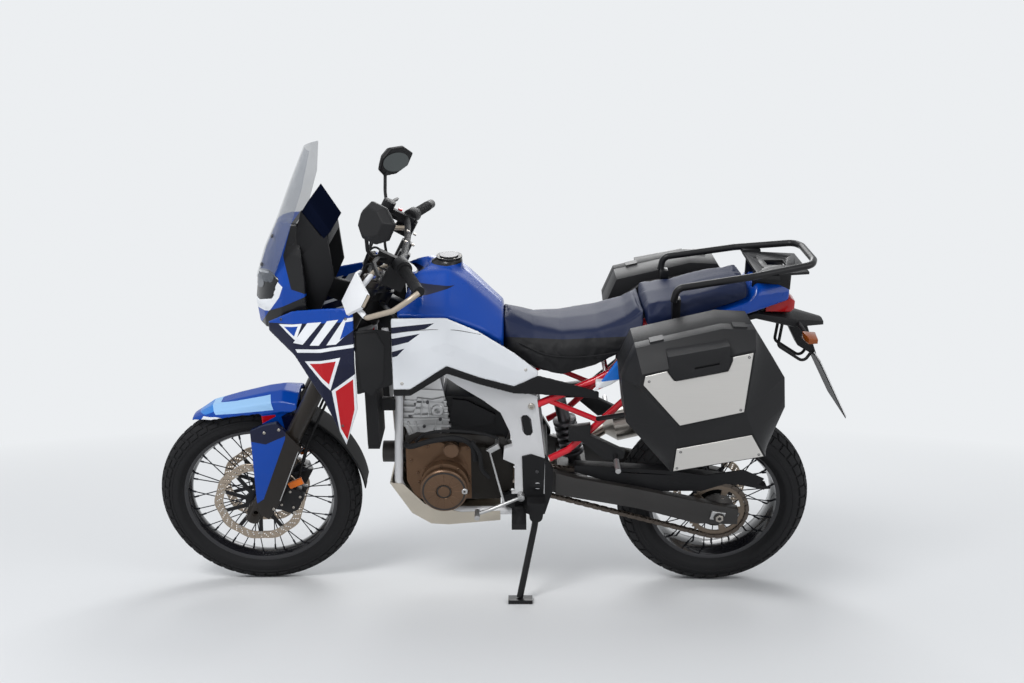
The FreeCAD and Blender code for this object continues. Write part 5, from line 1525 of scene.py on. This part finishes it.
# %% [markdown]
# Small bright fittings draw the eye to the axles: the nut and the chain adjuster at the rear, the
# calipers' bolts, an amber reflector on its stay and the bright edge of the fork guards in front.
# What turns with the bars rides on the steering.

# %% Wheel fittings
def wheel_fittings():
    block = [(1544, 327), (1590, 320), (1596, 350), (1550, 358)]
    y = touch("swingarm", CHASSIS, 1540, 345)[0].y
    holder = plate("axle_block", [block, circle(9, 1570, 339, 16)], 10, 1.0)
    put(holder, CHASSIS, (0, (y - 3) / 1000, 0))
    set_piece(holder, "chassis", cast_alloy.material, SLOT_OF["swingarm"])
    for name, at, way, radius, height in (("axle_nut", (1575, y - 6, 333), (0, -1, 0), 14, 9),
                                          ("adjuster_bolt", (1598, y + 6, 337), (1, 0, 0), 5, 12)):
        screws(name, "chassis", CHASSIS, [(Vector(at), Vector(way))], radius, steel,
               SLOT_OF["swingarm"], height, 6)
    print("swingarm's side at y", round(y, 1))


def fork_fittings():
    corners = ((8, 52), (48, 60), (14, 112), (52, 108))
    for side in (-1, 1):
        label = "left" if side < 0 else "right"
        spots = [touch("front_calipers", FORK, a, t, side) for a, t in corners]
        print(label, "caliper bolts", len(spots))
        screws("caliper_bolts_" + label, "steering", FORK, spots, 4.5, steel,
               SLOT_OF["front_calipers"], 3)
    lens = [(112, 452), (160, 474), (168, 450), (122, 430)]
    for side in (-1, 1):
        label = "left" if side < 0 else "right"
        shade = put(plate("fork_reflector_" + label, [lens], 8, 1.6), STEERING, (0, side * 0.110, 0))
        set_piece(shade, "steering", amber_lens.material, SLOT_OF["fork_guards"])
        stay = [(76, side * 105, 452), (112, side * 106, 446), (150, side * 106, 454)]
        fitted("reflector_stay_" + label, stay, 4, black_paint, "steering", STEERING,
               SLOT_OF["fork_guards"])
        laid_bar("guard_edge_" + label, "fork_guards", STEERING,
                 [(166, 592), (140, 528), (112, 458), (90, 404)], 1.6, cast_alloy, side, out=0.1)
        spots = on_side("fork_guards", [(62, 666), (110, 676), (66, 372)], STEERING, side)
        screws("guard_screws_%d" % side, "steering", STEERING, spots, 5, steel,
               SLOT_OF["fork_guards"], 2.4)


wheel_fittings()
fork_fittings()

# %% [markdown]
# The grips have fine rings, the top clamp its nut, caps and bolts, the right housing a red switch,
# and cables run from the levers down to the steering head. The cables are fixed bars that turn with
# the bars. Simulated cords would be truer, but most of their length is hidden by the screen and the
# cowls.

# %% Controls
UP = Vector((0, 0, 1))
CABLES = (("cable_", [(-40, 214, 1060), (-92, 170, 1068), (-104, 96, 1010), (-88, 62, 930)], 3.4),
          ("cable_low_", [(-30, 232, 1040), (-70, 190, 1020), (-92, 120, 985), (-84, 50, 900)], 3.0))


def controls():
    slot = SLOT_OF["hand_controls"]
    for side in (-1, 1):
        label = "left" if side < 0 else "right"
        inner, outer = Vector((-18, side * 215, 1072)), Vector((43, side * 400, 1090))
        first, way = inner.lerp(outer, 0.385), (outer - inner).normalized() * 1.3
        ring = bar("grip_rings_" + label, [first - way, first + way], 17.3, 20, 1)
        ring = repeated(ring, rubber.material, 16, 0.0, (outer - inner) * 0.037 / 1000)
        set_piece(put(ring, FORK), "steering", rubber.material, slot)
        for name, path, radius in CABLES:
            path = [(x, side * y, z) for x, y, z in path]
            fitted(name + label, path, radius, rubber, "steering", FORK, slot)
        cap = [(Vector((-60, side * 105, 950)), UP)]
        screws("fork_caps_" + label, "steering", FORK, cap, 11, cobalt, SLOT_OF["fork_legs"], 5, 6)
        bolts = [(Vector((x, side * 52, 1083)), UP) for x in (-11, 13)]
        screws("riser_bolts_" + label, "steering", FORK, bolts, 5.5, steel, SLOT_OF["triple_clamps"], 4)
        spots = [touch("triple_clamps", FORK, side * 105 - 12 * k, 752, -1, 0) for k in (0, 1)]
        screws("clamp_bolts_" + label, "steering", FORK, spots, 5, steel, SLOT_OF["triple_clamps"], 4)
    fitted("stem_nut", [(0, 0, 918), (0, 0, 934)], 15, steel, "steering", FORK,
           SLOT_OF["triple_clamps"], 6, 1)
    switch = plate("red_switch", [[(-60, 1072), (-44, 1076), (-44, 1086), (-58, 1084)]], 16, 1.5)
    set_piece(put(switch, FORK, (0, 0.237, 0)), "steering", red_paint.material, slot)
    fitted("ignition_lock", [(-46, 0, 922), (-46, 0, 936)], 14, black_paint, "steering", FORK,
           SLOT_OF["triple_clamps"], 20, 1)


controls()
print("cables", 2 * len(CABLES))

# %% [markdown]
# The tank's filler cap is a hinged lid in a ring of screws, set where a line from above meets the
# tank. Two short round bars and six screws are all it takes.

# %% Filler cap
CAP_X = 676


def filler_cap():
    slot = SLOT_OF["fuel_tank"]
    top = touch("fuel_tank", CHASSIS, CAP_X, 0, 1, 2)[0].z
    for name, low, high, radius, sides, finish in (("filler_ring", -3, 3, 42, 40, black_paint),
                                                   ("filler_lid", 1, 7, 30, 36, dark_steel)):
        disc = bar(name, [(CAP_X, 0, top + low), (CAP_X, 0, top + high)], radius, sides, 1)
        set_piece(put(disc, CHASSIS), "chassis", finish.material, slot)
    spots = [(Vector((x, y, top + 2)), UP) for x, y in circle(36, CAP_X, 0, 6)]
    screws("filler_screws", "chassis", CHASSIS, spots, 3, steel, slot, 2)
    print("filler cap at z", round(top, 1))


filler_cap()

# %% [markdown]
# Where two panels meet there is a seam, where a cover is sewn there is piping, and where a panel is
# fixed there are screws. They cost little and say how the thing is put together. All are laid on
# the solids, on both sides alike.

# %% Piping, seams and panel screws
TRIM_FIELD = [(402, 1044), (462, 1052), (486, 1010), (480, 900), (440, 846), (412, 872)]
PIPING = [(830, 1020), (900, 968), (980, 940), (1060, 936), (1140, 944), (1220, 958), (1280, 972)]
SEAM = [(530, 1052), (620, 1058), (700, 1054), (780, 1034)]
PANEL_SCREWS = (("panel_screws_%d", "side_panels", [(536, 884), (920, 898), (700, 900)], 5, steel),
                ("cowl_screws_%d", "side_cowls", [(160, 1068), (372, 1096), (344, 740)], 4.5,
                 dark_steel))


def panel_details():
    for side in (-1, 1):
        field = overlay("trim_field_%d" % side, "black_trims", CHASSIS, TRIM_FIELD, 2.5, side, cell=22,
                        edge=1.0)
        set_piece(field, "chassis", black_paint.material, SLOT_OF["black_trims"])
        laid_bar("seat_piping_%d" % side, "rider_seat", CHASSIS, PIPING, 2.2, rubber, side, out=0.8,
                 per=8)
        laid_bar("panel_seam_%d" % side, "side_panels", CHASSIS, SEAM, 0.9, engine_dark, side, out=-0.1)
        for name, node, pairs, radius, finish in PANEL_SCREWS:
            spots = on_side(node, pairs, CHASSIS, side)
            screws(name % side, "chassis", CHASSIS, spots, radius, finish, SLOT_OF[node], 1.6)


panel_details()
print("screw rows", 2 * len(PANEL_SCREWS))

# %% [markdown]
# Behind the front wheel the two radiators show their fins. Real fins are paper thin and hundreds;
# one slat, repeated by the tree at 4.2 mm, reads the same from any distance a rider would stand at.

# %% Radiator fins
for side in (-1, 1):
    slat = from_points("radiator_fins_%d" % side,
                       [(x, side * y, z) for x in (412.5, 416) for y in (82, 206) for z in (-0.6, 0.6)],
                       [(0, 1, 3, 2), (4, 6, 7, 5), (0, 2, 6, 4), (1, 5, 7, 3), (0, 4, 5, 1),
                        (2, 3, 7, 6)])
    fins = put(repeated(slat, dark_steel.material, 54, 0.0, (0, 0, 0.0042)), CHASSIS, (0, 0, 0.648))
    set_piece(fins, "chassis", dark_steel.material, SLOT_OF["radiators"])
print("fins per side", 54)

# %% [markdown]
# The lamps are a clear face over two dark bowls, with a bright brow line above each. Both are laid
# on the face from the front. At the rear, a black back stands behind the white number plate, and
# the screen gets its four screws.

# %% Lamps
def lamps():
    for side in (-1, 1):
        bowl = [(side * 62 + 24 * y, 1160 + 20 * z) for y, z in circle(1)]
        brow = [(side * 30, 1190), (side * 96, 1204), (side * 96, 1197), (side * 30, 1182)]
        for name, outline, finish in (("lamp_bowl_%d", bowl, lamp_bowl),
                                      ("lamp_brow_%d", brow, lamp_strip)):
            lens = overlay(name % side, "headlamps", CHASSIS, outline, 1.6, -1, 0, cell=9, edge=0)
            set_piece(lens, "chassis", finish.material, SLOT_OF["headlamps"])
            print(lens.name, "faces", len(lens.data.polygons))


def plate_and_screen():
    """The black back of the number plate, and the screen's four screws."""
    back = [(-102, 0), (102, 0), (102, 230), (-102, 230)]
    holder = plate("plate_holder", [back], 2.4, 0.6)
    tilt = Matrix.Rotation(math.atan2(106, 200), 4, "Y")
    stand = Matrix.Translation((1.9765, 0, 0.688)) @ tilt.inverted()
    stand = stand @ Matrix.Rotation(math.radians(90), 4, "Z")
    holder.data.transform(stand @ Matrix.Translation((0, 0.0014, 0)))
    set_piece(put(holder, CHASSIS), "chassis", black_plastic.material, SLOT_OF["number_plate"])
    corners = ((-62, 1215), (62, 1215), (-70, 1310), (70, 1310))
    spots = [touch("windscreen", CHASSIS, y, z, -1, 0) for y, z in corners]
    screws("screen_screws", "chassis", CHASSIS, spots, 6, dark_steel, SLOT_OF["windscreen"], 3)


lamp_bowl = plain("lamp_bowl", (0.16, 0.17, 0.19), 0.12, metallic=0.9, coat=0.5, depth=0)
lamp_strip = plain("lamp_strip", (0.85, 0.87, 0.9), 0.3, coat=0.5, depth=0)
lamps()
plate_and_screen()

# %% [markdown]
# Each case is closed by two latches over the joint of lid and case, and the silencer wears a black
# shield against the rider's boot. The latches lean with the lid's top, whose slope the meeting line
# tells.

# %% Latches and heat shield
LATCH_X, LATCH_Y = (1300, 1540), 336
BOX_FACES = [(0, 1, 2, 3), (4, 5, 6, 7), (0, 1, 5, 4), (1, 2, 6, 5), (2, 3, 7, 6), (3, 0, 4, 7)]


def latch(name, node, side, x):
    """A low block on the lid's sloping top, its upper face a little smaller."""
    point, normal = touch(node, CHASSIS, x, side * LATCH_Y, 1, 2)
    rise = -20 * normal.x / normal.z
    corners = [(x + along, side * across, point.z + (rise if along > 0 else -rise) + up)
               for up, near, far in ((-2, 322, 360), (5, 324, 358))
               for along, across in ((-20, near), (20, near), (20, far), (-20, far))]
    block = put(from_points(name, corners, BOX_FACES), CHASSIS)
    set_piece(block, BODY_OF[node], black_paint.material, SLOT_OF[node])


def latches_and_shield():
    for side, node in ((-1, "lid_left"), (1, "lid_right")):
        for k, x in enumerate(LATCH_X):
            latch("latch_%s_%d" % (node, k), node, side, x)
    shield = [(1262, 506), (1270, 560), (1440, 606), (1590, 636), (1596, 596), (1440, 558)]
    plate_piece = overlay("heat_shield", "silencer", CHASSIS, shield, 3.0, 1, cell=8, edge=0)
    set_piece(plate_piece, "chassis", black_paint.material, SLOT_OF["silencer"])
    spots = on_side("silencer", [(1284, 540), (1570, 612)], CHASSIS, 1)
    screws("shield_screws", "chassis", CHASSIS, spots, 6, steel, SLOT_OF["silencer"], 6)


latches_and_shield()
print("latches", 2 * len(LATCH_X))

# %% [markdown]
# The stage is a pale floor that fades into the backdrop, with no horizon to distract. The world is
# pale to the camera and to reflections, and dimmer as a light; a light-path node tells which ray is
# asking.

# %% Stage
PALE = (0.84, 0.86, 0.88)
FADE_FROM, FADE_OVER = 1.4, 3.6


def seen_rays(tree):
    """1 for rays of the camera, and for those that reach it through glass or off a gloss."""
    ray = tree.add("ShaderNodeLightPath")
    camera, glass, gloss = (Value(tree, ray.outputs["Is %s Ray" % kind])
                            for kind in ("Camera", "Transmission", "Glossy"))
    return camera.most(glass).most(gloss)


def floor_finish():
    """Grey floor near the machine, which fades into the backdrop's own colour."""
    floor = Finish("stage_floor").set(Base_Color=(0.7, 0.71, 0.72), Roughness=0.9)
    where = floor.add("ShaderNodeTexCoord").outputs["Object"]
    far = floor.add("ShaderNodeVectorMath", {"operation": "LENGTH"}, [where]).outputs["Value"]
    fade = ((Value(floor, far) - FADE_FROM) / FADE_OVER).most(0.0).least(1.0)
    glow = floor.add("ShaderNodeEmission", {}, {"Color": PALE})
    blend = floor.add("ShaderNodeMixShader", {},
                      [fade * seen_rays(floor), floor.shader.outputs[0], glow.outputs[0]])
    floor.feed(floor.tree.nodes["Material Output"].inputs[0], blend.outputs[0])
    return floor


def stage():
    mesh = bpy.data.meshes.new("stage_floor")
    mesh.from_pydata([(-60, -60, 0), (60, -60, 0), (60, 60, 0), (-60, 60, 0)], [], [(0, 1, 2, 3)])
    obj = link(bpy.data.objects.new("stage_floor", mesh))
    obj.data.materials.append(floor_finish().material)
    obj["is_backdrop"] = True
    world = bpy.data.worlds.new("stage_world")
    bpy.context.scene.world = world
    world.use_nodes = True
    sky = Nodes()
    sky.tree = world.node_tree
    sky.tree.nodes.clear()
    light = sky.add("ShaderNodeBackground", {}, {"Color": (0.93, 0.96, 1.0), "Strength": 0.52})
    pale = sky.add("ShaderNodeBackground", {}, {"Color": PALE})
    mix = sky.add("ShaderNodeMixShader", {}, [seen_rays(sky), light.outputs[0], pale.outputs[0]])
    sky.add("ShaderNodeOutputWorld", {}, [mix.outputs[0]])


stage()
print("floor fades from", FADE_FROM, "to", FADE_FROM + FADE_OVER, "m")


# %% [markdown]
# Three area lights do what a studio does. A key from the front left and above gives the shadows, a
# weak fill opens the rear, and a rim light behind draws the outline of the dark pieces. Large lamps
# are used because a bare point would leave hard, noisy shadows under the machine.

# %% Lights
def lamp(name, place, size, power):
    data = bpy.data.lights.new(name, "AREA")
    data.size, data.energy = size, power
    obj = link(bpy.data.objects.new(name, data))
    obj.location = place
    obj.rotation_euler = (Vector((0, 0, 0.7)) - Vector(place)).to_track_quat("-Z", "Y").to_euler()
    return obj


lamp("key", (-2.2, -4.2, 4.6), 2.0, 235)
lamp("fill", (3.6, -3.0, 2.6), 3.0, 50)
lamp("rim", (0.5, 4.2, 4.0), 3.0, 110)

# %% [markdown]
# The camera stands where the photograph was taken from: level, one metre up, a little behind the
# machine's middle. A lens shift frames the picture without tilting the view.

# %% Camera
CAMERA = Vector((0.884, -3.6254, 1.0115))
FOCAL, WIDE, HIGH, CENTRE = 996.2, 1024, 683, (515.0, 296.8)
camera = link(bpy.data.objects.new("camera", bpy.data.cameras.new("camera")))
origin = CHASSIS.to_translation()
camera.location = CAMERA + Vector((origin.x, origin.y, 0))
camera.rotation_euler = (math.radians(90), 0, 0)
camera.data.lens = FOCAL / WIDE * camera.data.sensor_width
camera.data.shift_x = -(CENTRE[0] - WIDE / 2) / WIDE
camera.data.shift_y = -(HIGH / 2 - CENTRE[1]) / WIDE
bpy.context.scene.camera = camera
bpy.context.scene.view_settings.view_transform = "Standard"
print("camera at", [round(v, 3) for v in camera.location])

# %% [markdown]
# The finished scene has to be as large as the CAD model, or a piece has been scaled or lost. The
# CAD model's box is taken at the start, and the finished scene's box is printed here.

# %% Sizes and the last line
visual_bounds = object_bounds()
print("visual box", [[round(v, 3) for v in c] for c in visual_bounds])
